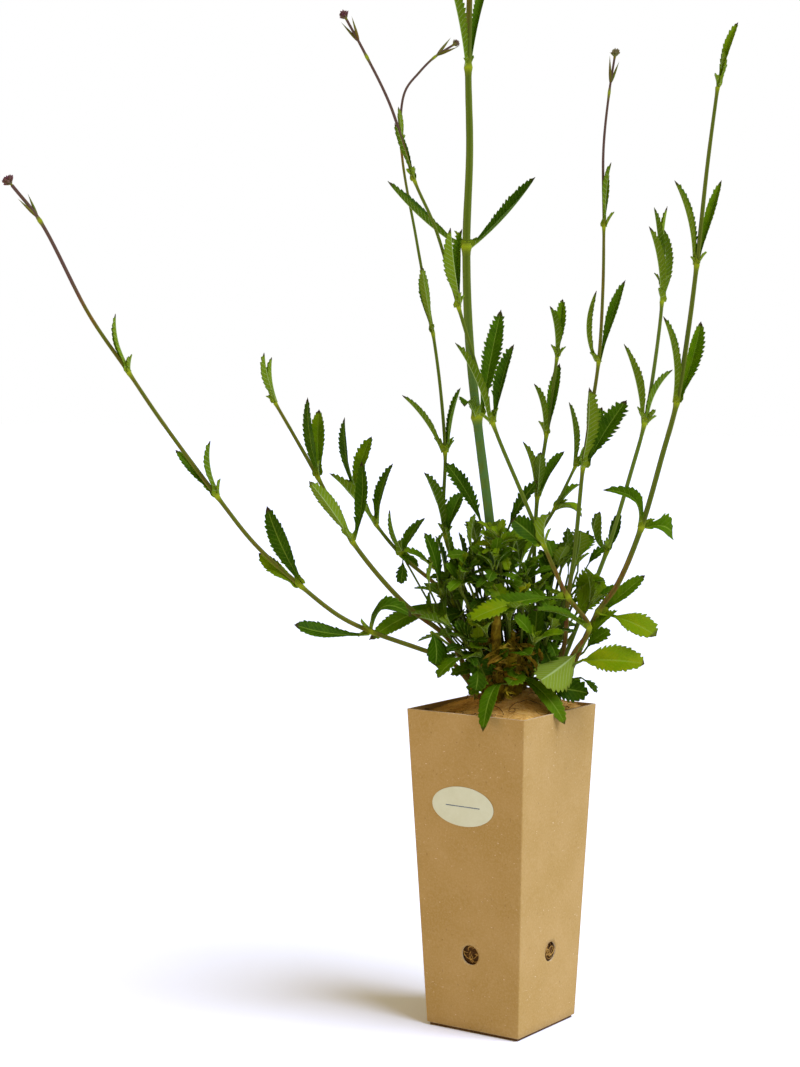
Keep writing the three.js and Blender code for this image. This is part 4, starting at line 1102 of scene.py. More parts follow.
def restyle(leaf, looks, tangent):
    """Gives a shown blade what differs from its solid's."""
    for name, value in looks.items():
        if name == "turn":
            leaf.face = leaf_face(leaf.reach, tangent, value)
        else:
            setattr(leaf, name, value)


def axil_leaves(station, tangent, lean, radius, draw):
    """Up to two tiny leaves of the bud that sits between a leaf and its stem."""
    side, other = sides_of(tangent)
    outward = unit(square_to(lean, tangent))
    leaves = []
    for _ in range(int(3 * draw())):
        turn = unit(outward + 0.9 * (draw() - 0.5) * side + 0.9 * (draw() - 0.5) * other)
        size = 5 + 7 * draw()
        reach = unit(turn * (0.5 + 0.5 * draw()) + tangent) * size
        root = station + outward * radius * 0.6 + tangent * draw()
        leaves.append(Leaf(root, reach, leaf_face(reach, tangent, 0), 2 + 0.17 * size, 0.5,
                           tone=0.5 + 0.3 * draw()))
    return leaves


def twig_route(start, reach, step):
    bulge = reach * TWIG_BULGE * vec(1, 1, 0)
    middle = start + reach * 0.5 + bulge
    return smooth_route(np.array([start, middle, start + reach]), step)[0]


HEAD_STANDOFF = 2.9          # mm from the stalk's tip to the middle of a head
HEAD_DOME = 1.5              # radius of the core that the calyces stand on
HEAD_CALYCES, HEAD_BRACTS = 24, 8
DOME_DEPTH = 1.35            # of the calyces' dome, in its radii
CALYX_LENGTH, CALYX_RADIUS = 2.6, 0.72
BRACT_LENGTH, BRACT_RADIUS = 2.6, 0.45
SPINDLE_RINGS, SPINDLE_SIDES = 8, 6


def add_spindle(skin, root, reach, radius, slot, shade, bulge=0.35, power=1.0):
    """A slim pointed body, such as a calyx or a bract."""
    share = np.linspace(0, 1, SPINDLE_RINGS)
    girth = np.sin(math.pi * np.minimum(0.12 + share * 0.88, 1) ** (1 - bulge)).clip(0, 1) ** power
    radii = radius * np.maximum(0.03, girth)
    upright = UP if abs(unit(reach)[2]) < 0.8 else vec(1, 0, 0)
    loops = tube_loops(root + share[:, None] * reach, radii, SPINDLE_SIDES, upright=upright)
    skin.add(loops, slot, stacked(share[:, None], 0.0, shade))


# Size of some heads against the usual, and how green the buds of some are.
BIG_HEADS = {"head_far_left_grown": 1.5, "head_mid_left_grown": 1.15, "head_back_left_grown": 0.85}
GREEN_HEADS = {"head_right_1_grown": 0.5, "head_back_left_grown": 0.2}


def bud_head(name, tip, direction, draw):
    """A dome of pointed maroon calyces over a ring of green bracts."""
    scale = BIG_HEADS.get(name, 1.0)
    green = GREEN_HEADS.get(name, 0.0)
    skin = Skin()
    side, other = sides_of(direction, FRONT if abs(direction[1]) < 0.9 else UP)
    middle = tip + direction * HEAD_STANDOFF
    stub = np.array([tip - direction * 0.6, tip + direction, middle])
    skin.add(tube_loops(stub, vec(0.75, 0.85, 1.3), 10), STEM, (0.5, 0.2, 0.9))
    for i in range(HEAD_CALYCES):
        cosine = 1 - DOME_DEPTH * (i + 0.5) / HEAD_CALYCES
        sine = math.sqrt(1 - cosine ** 2)
        outward = sine * swung(side, other, i * GOLDEN_TURN) + cosine * direction
        lean = unit(outward + 0.5 * direction + 0.25 * vec(draw() - 0.5, draw() - 0.5, draw() - 0.5))
        size = CALYX_LENGTH * (0.75 + 0.35 * draw()) * scale
        root = middle + outward * HEAD_DOME * 0.5 * scale
        add_spindle(skin, root, lean * size, CALYX_RADIUS * scale, BUD, green + 0.25 * draw(), power=0.6)
    for i in range(HEAD_BRACTS):
        outward = swung(side, other, i * math.pi / 4 + 0.3 * draw())
        lean = unit(outward + (0.5 + 0.5 * draw()) * direction)
        root = tip + direction * 1.2 + outward * 0.5
        add_spindle(skin, root, lean * (BRACT_LENGTH + 1.2 * draw()), BRACT_RADIUS, BUD, 0.4 + green)
    return skin.build(name, PLANT_MATERIALS)


# Stalk above the pair of narrow bracts and above the last swollen node, mm.
USUAL_REACH = (15, 26)
STALK_REACH = {"stem_right_1": (15, 22), "stem_back_left": (12, 15), "stem_far_left": (24, 28)}
TWIG_DUSK = 0.6              # how dusky a side stalk is


def along_route(points):
    """How far along a route each of its points is."""
    return np.concatenate([[0], np.cumsum(np.linalg.norm(np.diff(points, axis=0), axis=1))])


def add_bracts(skin, route, above, draw):
    """The pair of narrow bracts below a head of buds, and the tiny side buds inside it."""
    reach = along_route(route)
    mark = int(np.argmin(abs(reach[-1] - reach - above)))
    tangent = tangent_at(route, mark)
    side, other = sides_of(tangent)
    turn = 2 * math.pi * draw()
    for sign in (1, -1):
        outward = sign * swung(side, other, turn)
        lean = unit(tangent + outward * (0.12 + 0.4 * draw())) * (13 + 4 * draw())
        add_spindle(skin, route[mark] + outward * 0.4, lean, 1.0, STEM, 0.3 + 0.7 * draw())
        add_spindle(skin, route[mark], unit(tangent + outward * 0.15) * 6, 0.5, BUD, 0.6)


def stem_leaves(name, stations, route, marks, radii, draw):
    """The leaves of a long stem, and the small ones in their axils."""
    leaves = []
    for i, (x, y, z, *entries) in enumerate(stations):
        place, radius = vec(x, y, z), radii[marks[i + 1]]
        tangent = tangent_at(route, marks[i + 1])
        share = (z - LOW_LEAF) / LEAF_RANGE
        for j, entry in enumerate(entries):
            leaf = stem_leaf(place, tangent, radius, *entry)
            keep_balls(obstacles, leaf_balls(leaf))
            leaf.face = leaf_face(leaf.reach, tangent, entry[4] * SHOWN_TURN)
            leaf.tone = 0.16 + 0.25 * share + 0.35 * draw()
            leaf.clasp = radius * 1.25 + 0.8
            leaf.tip = STEM_LEAF_TIP
            leaf.fold = LEAF_FOLD + 12 * draw() + 22 * share
            restyle(leaf, SHOWN_STEM_LEAVES.get((name, i, j), {}), tangent)
            leaf.droop = 0.04 * np.linalg.norm(leaf.reach) * (draw() - 0.3)
            leaves += [leaf, *axil_leaves(place, tangent, leaf.reach, radius, draw)]
    return leaves


def stem_girth(name, low, high, share):
    """The shown radius of a stem at each share of its length."""
    if name != THICK_STEM:
        low = low * SHOWN_FOOT
    if name in SLIM_STEMS:
        return low + (SLIM_STEMS[name] - low) * share
    return low + (high - low) * share ** 2


def stem_purple(name, height, to_tip, flowers):
    """How purple or brown a stem is, at each height and way to its tip."""
    low, high = BLUSHES.get(name, (0, 1))
    purple = smooth_step(low - 15, low, height) * smooth_step(high + 25, high, height)
    brown, start = BROWN_STEMS.get(name, (0, 0))
    purple = np.maximum(purple, brown * smooth_step(start - 20, start + 20, height))
    if flowers:
        purple = np.maximum(purple, 2 * smooth_step(FLOWER_BLUSH, 0.5 * FLOWER_BLUSH, to_tip))
    return purple


def add_long_stem(name, low, high, foot, stations, stalks=None):
    """A whole leafy stem and its heads. The coarse route gives what the solids have, the fine one its
    surface."""
    draw = seeded_random(sum(map(ord, name)))
    skin = Skin()
    places = [vec(*station[:3]) for station in stations]
    knots = np.array([vec(*foot, coir_top(*foot) + SOIL_CLEAR), *places])
    coarse, marks = smooth_route(knots, STEM_STEP)
    radii = low + (high - low) * (np.arange(len(coarse)) / (len(coarse) - 1)) ** 2
    joints = [i for i, station in enumerate(stations) if station[3:]]
    for i in joints:
        radii[marks[i + 1]] *= NODE_SWELL
    bottom = vec(*foot, STEM_END)
    keep_balls(obstacles, stem_balls(np.array([bottom, *coarse]), [low, *radii]))
    leaves = stem_leaves(name, stations, coarse, marks, radii, draw)

    flowers = stalks is not None
    above_bracts, above_node = STALK_REACH.get(name, USUAL_REACH)
    fine = np.concatenate([[bottom], smooth_route(knots, FINE_STEP)[0]])
    way, height = along_route(fine), fine[:, 2]
    near = np.zeros(len(fine))
    for i in joints:
        near = np.maximum(near, np.exp(-(np.linalg.norm(fine - places[i], axis=1) / NODE_SPREAD) ** 2))
    if flowers:
        near = np.maximum(near, np.exp(-(abs(way[-1] - above_node - way) / NECK_SPREAD) ** 2))
    thick = stem_girth(name, low, high, way / way[-1])
    thick = thick * (1 + NODE_GIRTH * near + 0.03 * rough(fine, 9, 2))
    purple = stem_purple(name, height, way[-1] - way, flowers)
    bloom = smooth_step(BLOOM_TOP + 80, BLOOM_TOP - 40, height) if name == THICK_STEM else 0.0
    add_stem(skin, fine, thick, near, purple, bloom)

    heads = []
    end = tangent_at(coarse, len(coarse) - 1)
    if flowers:
        heads.append((places[-1], end))
        add_bracts(skin, fine, above_bracts, draw)
    else:
        leaves += tip_tuft(places[-1], end, high, STEM_TUFT, draw)
    for station, *reach in stalks or []:
        coarse_twig = twig_route(places[station], vec(*reach), STEM_STEP)
        twig = twig_route(places[station], vec(*reach), FINE_STEP)
        near = np.zeros(len(twig))
        add_stem(skin, twig, near + high * TWIG_SHARE, near, near + 2 * TWIG_DUSK)
        add_bracts(skin, twig, above_bracts, draw)
        heads.append((twig[-1], tangent_at(coarse_twig, len(coarse_twig) - 1)))
    for leaf in leaves:
        add_leaf(skin, leaf, draw)
    dress(skin.build(name + "_grown", PLANT_MATERIALS), "leafy_stem", name)
    for i, (tip, direction) in enumerate(heads):
        head = name.replace("stem", "head") + (f"_{i + 1}" if i else "")
        dress(bud_head(head + "_grown", tip, direction, draw), "bud_head", head)


def tip_tuft(tip, tangent, radius, size, draw):
    """The small unopened leaves at the end of a shoot."""
    side, other = sides_of(tangent)
    leaves = []
    turn = FULL_TURN * draw()
    for pair in range(3):
        turn += math.pi / 2
        for opposite in (0, math.pi):
            outward = swung(side, other, turn + opposite)
            reach = unit(tangent + outward * (0.55 - 0.17 * pair)) * size * (1.1 - 0.25 * pair)
            root = tip + outward * radius * 0.3 + tangent * 0.6 * (pair - 1)
            leaves.append(Leaf(root, reach, leaf_face(reach, tangent, 0), 0.3 * size, 0.6,
                               tone=0.6 + 0.15 * pair))
    return leaves


# -------- crown
def shoot_route(tip, step):
    """A short shoot's way from the woody crown to its tip, clear of the long stems."""
    out = unit(vec(tip[0] - CROWN_X, tip[1] - CROWN_Y, 0))
    sideways = vec(-out[1], out[0], 0)
    root = vec(CROWN_X, CROWN_Y, CROWN_TOP - SHOOT_DEPTH) + out * CROWN_RADIUS * SHOOT_START
    climb = tip - root
    knots = [np.array([root, root + climb * SHOOT_BEND + sideways * shift, tip]) for shift in SHOOT_SHIFTS]
    for way in knots:
        points, _ = smooth_route(way, SHOOT_STEP)
        spots, sizes = stem_balls(points, [SHOOT_RADIUS] * len(points))
        free = np.hypot(spots[:, 0] - CROWN_X, spots[:, 1] - CROWN_Y) > CROWN_RADIUS
        if is_clear((spots[free], sizes[free])):
            break
    else:
        way = knots[0]
    return smooth_route(way, step)[0]


def shoot_leaf(station, tangent, around, spread, size):
    outward = swung(*sides_of(tangent), math.radians(around))
    root = station + outward * SHOOT_RADIUS * SHOOT_LEAF_ROOT
    reach = swung(tangent, outward, math.radians(spread)) * size
    return Leaf(root, reach, leaf_face(reach, tangent, 0), size * SHOOT_LEAF_WIDTH, size * SHOOT_LEAF_ARCH)


def shoot_leaves(points, leaf_length, pairs, first_turn, draw, crown_balls):
    """The same choice of leaves as in the solids."""
    leaves = []
    for pair in range(pairs):
        share = FIRST_PAIR + (1 - FIRST_PAIR) * pair / (pairs - 1)
        mark = share * (len(points) - 1)
        low = min(math.floor(mark), len(points) - 2)
        station = points[low] + (points[low + 1] - points[low]) * (mark - low)
        tangent = unit(points[low + 1] - points[low])
        spread = LEAF_ANGLE - LEAF_CLOSING * share + ANGLE_PLAY * draw()
        size = leaf_length * (LEAF_SIZE - LEAF_SHRINK * share + SIZE_PLAY * draw())
        start = first_turn + pair * PAIR_TURN + TURN_PLAY * draw()
        for opposite in (0, 180):
            around = [start + opposite + turn for turn in LEAF_TURNS]
            choices = [shoot_leaf(station, tangent, angle, spread, size) for angle in around]
            choices = [leaf for leaf in choices if is_clear(leaf_balls(leaf))]
            if choices:
                free = [leaf for leaf in choices if not touches(leaf_balls(leaf), crown_balls)]
                leaf = (free or choices)[0]
                keep_balls(crown_balls, leaf_balls(leaf))
                leaves.append(leaf)
    return leaves


# Dry stubs of last year's stems, and the knot of old fibres: the foot, the top and the radius of each.
STUBS = [
    [(-3, -14, 216), (-6, -35, 275), 3.6],
    [(2, -9, 218), (6, -24, 262), 2.0],
    [(13, -5, 225), (15, -9, 256), 1.7],
    [(19, 3, 225), (22, 2, 261), 1.5],
    [(4, 12, 225), (3, 15, 251), 1.7],
]
KNOT = [(8, 0, 206), (3, -27, 254), 8.5]
KNOT_SLIMMING = 0.55         # how fast it gets slimmer away from its widest place
DRY_LEAVES = 165
DRY_IN_FRONT = 0.7           # share of them in front, below the yellow leaf
DRY_HEAP = (2, -24, 227)     # foot of the heap that those are in


def straight_line(foot, top, count):
    return vec(*foot) + np.linspace(0, 1, count)[:, None] * (vec(*top) - vec(*foot))


def add_woody_base(skin):
    """The knotty base of the crown, with dry stubs."""
    line = straight_line((CROWN_X, CROWN_Y, SOIL_EDGE - 2), (CROWN_X, CROWN_Y, CROWN_TOP), 14)
    loops = tube_loops(line, CROWN_RADIUS * (1.15 - 0.35 * np.linspace(0, 1, 14)), 24)
    skin.add(loops + (loops - line[:, None]) * (0.35 * rough(loops, 4, 5))[..., None], DRY)
    for foot, top, radius in STUBS:
        points = straight_line(foot, top, 30)
        points = points + 0.9 * vec(1, 1, 0) * rough(points, 8, 3)[:, None]
        loops = tube_loops(points, radius * (1 - 0.15 * np.linspace(0, 1, 30)), 16, upright=vec(1, 0, 0))
        skin.add(loops + 0.5 * rough(loops, 2, 4)[..., None], DRY)


def add_dead_matter(draw):
    """A fibrous knot and dead leaves at the foot of the crown."""
    skin = Skin()
    share = np.linspace(0, 1, 36)
    foot, top, radius = KNOT
    points = straight_line(foot, top, 36) + vec(0, 0, 5) * np.sin(math.pi * share)[:, None]
    radii = radius * (1 - KNOT_SLIMMING * abs(1.6 * share - 1)) * np.sqrt(1 - share ** 6 + 0.01)
    loops = tube_loops(points, radii, 40, upright=vec(1, 0, 0))
    swelling = 0.4 * rough(loops, 5, 6) + 0.25 * rough(loops, 1.8, 7)
    skin.add(loops + (loops - points[:, None]) * swelling[..., None], DRY)
    for _ in range(DRY_LEAVES):
        angle, reach = FULL_TURN * draw(), 4 + 8 * draw()
        around = vec(math.cos(angle), math.sin(angle), 0)
        if draw() < DRY_IN_FRONT:
            root = vec(*DRY_HEAP) + vec(0, 0, 31 * draw() ** 1.5)
            root = root + around * (2 + 10 * draw()) * vec(1.2, 0.7, 0)
            root[2] += max(0, root[0] - 3)
        else:
            root = vec(CROWN_X, CROWN_Y, CROWN_TOP - 7 + 24 * draw())
            root = root + around * (CROWN_RADIUS + 2 + 8 * draw()) * vec(1.4, 0.8, 0)
        lean = (around + vec(0, 0, 0.6 - 1.5 * draw())) * reach
        add_leaf(skin, Leaf(root, lean, leaf_face(lean, UP, 90 * draw()), 2 + 4 * draw(), 1 + 3 * draw(),
                            fold=50, droop=4 * draw(), dry=True), draw)
    dress(skin.build("crown_dry", PLANT_MATERIALS), "crown_leaf")


SHOWN_WIDTH = 1.1            # width of a crown leaf's blade against its plainer solid
CROWN_PETIOLE = 0.18
CROWN_BITE = 1.9
CROWN_FOLD = 16
CROWN_TWIST = 0.6
CROWN_POWER = 0.7
DARKEST = 0.22               # tone of a shoot's darkest leaf, where none is given
FILL_STALK = 0.8             # radius of a stalk in the fill against the others'

# What the shown blade has in place of its solid's, for some of CROWN_LEAVES.
SHOWN_AS = {
    0: dict(reach=vec(39, -12, -1), width=22, petiole=0.06, power=0.5, bite=1.1, tone=0.9),
    1: dict(reach=vec(-24, -17, -16), turn=-128, width=29, fold=34, petiole=0.02, bite=0.9, skew=0.85,
            power=0.65),
    2: dict(width=21, fold=8, petiole=0.1, power=0.55, bite=1.2),
    8: dict(width=12.5, arch=5, petiole=0.05, bite=0.6),
    9: dict(bite=0.6),
}


def as_crown_leaf(leaf):
    leaf.width *= SHOWN_WIDTH
    leaf.petiole, leaf.bite, leaf.fold = CROWN_PETIOLE, CROWN_BITE, CROWN_FOLD
    leaf.power, leaf.twist = CROWN_POWER, CROWN_TWIST


def add_stalk(skin, place, radius):
    stalk = shoot_route(place, FINE_STEP)
    plain = np.zeros(len(stalk))
    add_stem(skin, stalk, plain + radius, plain, plain)


def add_stalked_leaves(skin, entries, radius, crown_balls, shown_as):
    """Single leaves of the crown, each on a stalk of its own. Adds the stalks and gives the leaves."""
    leaves = []
    for i, (x, y, z, dx, dy, dz, width, turn, arch, tone) in enumerate(entries):
        root, reach = vec(x, y, z), vec(dx, dy, dz)
        leaf = Leaf(root, reach, leaf_face(reach, UP, turn), width, arch, tone)
        keep_balls(crown_balls, leaf_balls(leaf))
        as_crown_leaf(leaf)
        restyle(leaf, shown_as.get(i, {}), UP)
        add_stalk(skin, root, radius)
        leaves.append(leaf)
    return leaves


def add_shoots(skin, shoots, draw, looks, crown_balls):
    """Short leafy shoots. Adds their stems and gives their leaves and tufts."""
    leaves, tufts = [], []
    for i, (x, y, z, leaf_length, pairs, *tone) in enumerate(shoots):
        tip = vec(x, y, z)
        coarse = shoot_route(tip, SHOOT_STEP)
        grown = shoot_leaves(coarse, leaf_length, pairs, i * SHOOT_TURN, draw, crown_balls)
        darkest = tone[0] if tone else DARKEST
        for leaf in grown:
            leaf.tone = darkest + 0.45 * looks()
            as_crown_leaf(leaf)
        fine = shoot_route(tip, FINE_STEP)
        thick = SHOOT_RADIUS * (1.1 - 0.3 * np.linspace(0, 1, len(fine)))
        blush = 0.6 * looks() * np.linspace(1, 0, len(fine))
        add_stem(skin, fine, thick, np.zeros(len(fine)), blush)
        leaves += grown
        tufts += tip_tuft(tip, tangent_at(fine, len(fine) - 1), SHOOT_RADIUS, SHOOT_TUFT, looks)
    return leaves, tufts


def add_crown_leaves(skin, leaves, looks):
    for leaf in leaves:
        leaf.droop = 0.06 * np.linalg.norm(leaf.reach) * looks()
        add_leaf(skin, leaf, looks)


ROSETTE_AXIS = unit(vec(0, -0.55, 0.85))


def add_rosettes(draw):
    """Dense whorls of small leaves on the crown's inner shoots, in front of the main stem."""
    skin = Skin()
    side, other = sides_of(ROSETTE_AXIS)
    for x, y, z, size, count, tone in ROSETTES:
        middle = vec(x, y, z)
        add_stalk(skin, middle, STALK_RADIUS)
        leaves = []
        for k in range(count):
            outward = swung(side, other, GOLDEN_TURN * k + 1.2 * draw())
            reach = swung(outward, ROSETTE_AXIS, math.radians(-35 + 90 * k / count + 30 * draw()))
            reach = reach * size * (1.05 - 0.5 * k / count + 0.4 * draw())
            root = middle + outward * 0.8 + ROSETTE_AXIS * (k / count - 0.5) * 12
            width = (0.26 + 0.1 * draw()) * size
            leaf = Leaf(root, reach, leaf_face(reach, ROSETTE_AXIS, 0), width, 0.1 * size)
            leaf.tone = tone + 0.3 * (draw() - 0.5)
            as_crown_leaf(leaf)
            leaves.append(leaf)
        add_crown_leaves(skin, leaves, draw)
    dress(skin.build("crown_rosettes", PLANT_MATERIALS), "crown_leaf")


def add_crown():
    """The crown as in the solids, a second piece with the leaves that make it as full as the real one,
    and the whorls and dead leaves."""
    looks = seeded_random(23)
    crown_balls = ([], [])
    halves = (("crown_grown", CROWN_LEAVES, STALK_RADIUS, SHOWN_AS, SHOOTS, 7, ["crown"]),
              ("crown_fill", EXTRA_LEAVES, STALK_RADIUS * FILL_STALK, {}, FILL_SHOOTS, 8, []))
    for name, singles, radius, shown_as, shoots, seed, nodes in halves:
        skin = Skin()
        single = add_stalked_leaves(skin, singles, radius, crown_balls, shown_as)
        leaves, tufts = add_shoots(skin, shoots, seeded_random(seed), looks, crown_balls)
        add_crown_leaves(skin, single + leaves + tufts, looks)
        if nodes:
            add_woody_base(skin)
        dress(skin.build(name, PLANT_MATERIALS), "crown_leaf", *nodes)
    add_rosettes(looks)
    add_dead_matter(looks)


for stem in STEMS:
    add_long_stem(*stem)
add_crown()

# -------- pot sleeve
POT_MOUTH = (pot_high.x - pot_low.x) / MM
SLEEVE_LIFT = pot_low.z / MM
WALL_SLOPE = (POT_MOUTH - POT_FOOT) / 2 / (POT_HEIGHT - SLEEVE_LIFT)
FOLD_RADIUS = 0.9            # outside radius of the board's folds
CREASE = 0.12                # depth of the pressed line beside a fold
CREASE_PLACE = 1.6           # its distance from the fold
CREASE_WIDTH = 0.8
WALL_BOW = 0.25              # how far a wall sinks in at its middle
RIM_ROUNDING = 0.2
FOOT_ROUNDING = (0.25, 0.3)  # inwards and upwards


def outer_half(z):
    return POT_FOOT / 2 + WALL_SLOPE * (z - SLEEVE_LIFT)


def wall_bow(z, share):
    """How far a wall sinks in, at a height and a share of the way from its middle to its edge."""
    rise = (z - SLEEVE_LIFT) / (POT_HEIGHT - SLEEVE_LIFT)
    return WALL_BOW * np.sin(math.pi * rise) * (1 - share ** 2)


def square_loop(half, radius, flats=24, arcs=5):
    """A rounded square as x, y, and each point's share of the way along its side, from -1 to 1."""
    points = []
    for corner in range(4):
        middle = math.pi / 2 * corner
        turn = vec(math.cos(middle), math.sin(middle), 0)
        along = vec(-turn[1], turn[0], 0)
        for share in np.linspace(-1, 1, flats):
            points.append([*(turn * half + along * share * (half - radius))[:2], share])
        for step in range(1, arcs):
            angle = middle + math.pi / 2 * step / arcs
            centre = (turn + along) * (half - radius)
            points.append([centre[0] + radius * math.cos(angle), centre[1] + radius * math.sin(angle), 1])
    return np.array(points)


def sleeve_profile():
    """Heights and insets of the board's section, up the outside and down the inside."""
    heights = np.linspace(SLEEVE_LIFT, POT_HEIGHT, 40)
    outside = [(z, 0.0) for z in heights]
    inside = [(z, BOARD) for z in heights[::-1]]
    outside[:1] = [(SLEEVE_LIFT, FOOT_ROUNDING[0]), (SLEEVE_LIFT + FOOT_ROUNDING[1], 0.0)]
    outside[-1] = (POT_HEIGHT - RIM_ROUNDING, 0.0)
    return outside + [(POT_HEIGHT, RIM_ROUNDING), (POT_HEIGHT, BOARD - RIM_ROUNDING)] + inside


def sleeve_loops():
    loops = []
    for z, inset in sleeve_profile():
        half = outer_half(z) - inset
        x, y, share = square_loop(half, max(0.2, FOLD_RADIUS - inset)).T
        press = CREASE * np.exp(-(((1 - np.abs(share)) * half - CREASE_PLACE) / CREASE_WIDTH) ** 2)
        inward = 1 - (wall_bow(z, share) + press) / half
        loops.append(stacked(x * inward, y * inward, z))
    return np.array(loops)


def drain_cutter(edge):
    """Two long round bars through the pot's four holes."""
    skin = Skin()
    for axis in (vec(1, 0, 0), vec(0, 1, 0)):
        ends = vec(0, 0, DRAIN_HEIGHT) + axis * np.array((-POT_MOUTH, POT_MOUTH))[:, None]
        skin.add(tube_loops(ends, vec(1, 1) * DRAIN_DIAMETER / 2, 64, upright=UP), 0)
    return skin.build("drain_cutter", [edge], turn=0)


def add_sleeve():
    board = board_material("kraft_board", KRAFT)
    edge = board_material("kraft_cut_edge", CUT_EDGE)
    skin = Skin()
    skin.add(sleeve_loops(), 0, ring=True)
    sleeve = skin.build("pot_sleeve_folded", [board, edge], turn=0, sharp=40)
    for face in sleeve.data.polygons:
        if abs(face.normal.z) > 0.5:
            face.material_index = 1
    cutter = drain_cutter(edge)
    cut = sleeve.modifiers.new("drain", "BOOLEAN")
    cut.object = cutter
    cut.operation = "DIFFERENCE"
    cut.solver = "EXACT"
    cut.material_mode = "TRANSFER"
    bpy.context.view_layer.objects.active = sleeve
    bpy.ops.object.modifier_apply(modifier=cut.name)
    bpy.data.objects.remove(cutter)
    dress(sleeve, "board", "pot_sleeve")


def add_base():
    """The base panel keeps its solid and gets a much darker board, as painted shade under the sleeve's edge.
    """
    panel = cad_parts["pot_base"]
    shaded_base = board_material("shaded_base_board", SHADED_BASE_BOARD)
    panel.data.materials.clear()
    panel.data.materials.append(shaded_base)


# -------- label
LABEL_THICKNESS = 0.22
LABEL_GAP = 0.05             # between the board and the paper
LABEL_CURL = 0.12            # by which the edge stands off further
# Its section, from the middle of the front over the edge to the back: shares of the way out and of the
# thickness.
LABEL_SECTION = ((0.02, 1), (0.5, 1), (0.95, 1), (0.99, 0.9), (1, 0.5), (0.995, 0), (0.5, 0), (0.02, 0))
RULE_LENGTH, RULE_HEIGHT = 26, 0.7


def on_label(across, up, stand):
    """A place on the sloping front wall, measured from the label's middle."""
    tilt = math.radians(LABEL_TILT)
    x = across * math.cos(tilt) - up * math.sin(tilt) + LABEL_SHIFT
    rise = across * math.sin(tilt) + up * math.cos(tilt)
    z = LABEL_CENTRE + rise * math.cos(math.atan(WALL_SLOPE))
    half = outer_half(z)
    return stacked(x, -(half - wall_bow(z, x / (half - FOLD_RADIUS))) - stand, z)


def add_label():
    skin = Skin()
    angles = ring_angles(96)
    loops = []
    for share, stand in LABEL_SECTION:
        lift = LABEL_GAP + LABEL_THICKNESS * stand + LABEL_CURL * share ** 12
        loops.append(on_label(share * LABEL_WIDTH / 2 * np.cos(angles),
                              share * LABEL_HEIGHT / 2 * np.sin(angles), lift))
    skin.add(np.array(loops)[:, ::-1], 0)
    dress(skin.build("label_oval", [label_material()], turn=0), "label_paper", "plant_label")

    rule = Skin()
    across = np.linspace(-RULE_LENGTH / 2, RULE_LENGTH / 2, 30)
    section = ((-1, 0.02), (1, 0.02), (1, 0.05), (-1, 0.05))
    rule.add(np.stack([on_label(across, side * RULE_HEIGHT / 2, LABEL_GAP + LABEL_THICKNESS + stand)
                       for side, stand in section], axis=1), 0)
    dress(rule.build("label_rule", [ink_material()], turn=0), "label_paper")


# -------- coir
COIR_INSET = BOARD + GAP + 0.3
BOTTOM_RINGS = (0.05, 0.5, 0.9)   # shares of the way out
SIDE_RINGS = 60
FIBRES_ON_TOP = 2200
WISPS = 26
FIBRES_IN_HOLE = 15
DARK_IN_HOLE = 0.3           # share of those that are as dark as the wisps, as painted shade in the hole


def coir_block_loops():
    """Square rings: across the bottom, up the sides, then over the mound to the crown."""
    bottom = BASE_THICKNESS + GAP

    def ring(share, z):
        outline = square_loop(outer_half(z) - COIR_INSET, 2.5, 36, 4)
        return stacked(outline[:, 0] * share, outline[:, 1] * share, z)
    loops = [ring(share, bottom) for share in BOTTOM_RINGS]
    loops += [ring(1, z) for z in np.linspace(bottom + 0.5, SOIL_EDGE - 1.5, SIDE_RINGS)]
    for share in np.linspace(0.995, 0.02, 46):
        flat = ring(share, SOIL_EDGE) + crown_middle * (1 - share) * vec(1, 1, 0)
        flat[:, 2] = soil_height(flat[:, 0], flat[:, 1])
        loops.append(flat)
    return np.array(loops)


def add_coir():
    loops = coir_block_loops()
    bumps = rough(loops, 9, 1) + 0.35 * rough(loops, 2.5, 2)
    top = np.arange(len(loops))[:, None] >= len(BOTTOM_RINGS) + SIDE_RINGS
    loops[..., 2] += np.where(top, 0.8 * bumps, 0)
    loops[..., :2] *= 1 - np.where(top, 0, 0.02 + 0.012 * bumps)[..., None]
    skin = Skin()
    skin.add(loops, 0)
    # The block gets painted shade low in the pot.
    body = coir_material("coir_block", COIR_BLOCK, COIR_PAINTED_SHADE)
    dress(skin.build("coir_block", [body], turn=0, sharp=80), "coir", "root_ball")


def add_fibre(skin, points, radius, sides=3):
    radii = radius * (1 - 0.5 * np.linspace(0, 1, len(points)))
    spread = np.abs(unit(points[-1] - points[0] + 0.01))
    skin.add(tube_loops(points, radii, sides, upright=np.eye(3)[int(np.argmin(spread))]), 0)


def strand_on_top(draw, steps, step, lift, hop, curl):
    """A strand that wanders over the mound and turns back at the pot's walls."""
    inner = outer_half(POT_HEIGHT) - COIR_INSET - 0.3
    heading, bend = FULL_TURN * draw(), (draw() - 0.5) * curl
    spot = vec((2 * draw() - 1) * inner, (2 * draw() - 1) * inner)
    points = []
    for k in range(steps):
        height = soil_height(*spot) + lift + hop * math.sin(k / (steps - 1) * math.pi)
        points.append(vec(*spot, height))
        heading += bend + curl * (draw() - 0.5)
        move = vec(math.cos(heading), math.sin(heading)) * step
        outside = np.abs(spot + move) > inner
        spot = spot + np.where(outside, -move, move)
    return np.array(points)


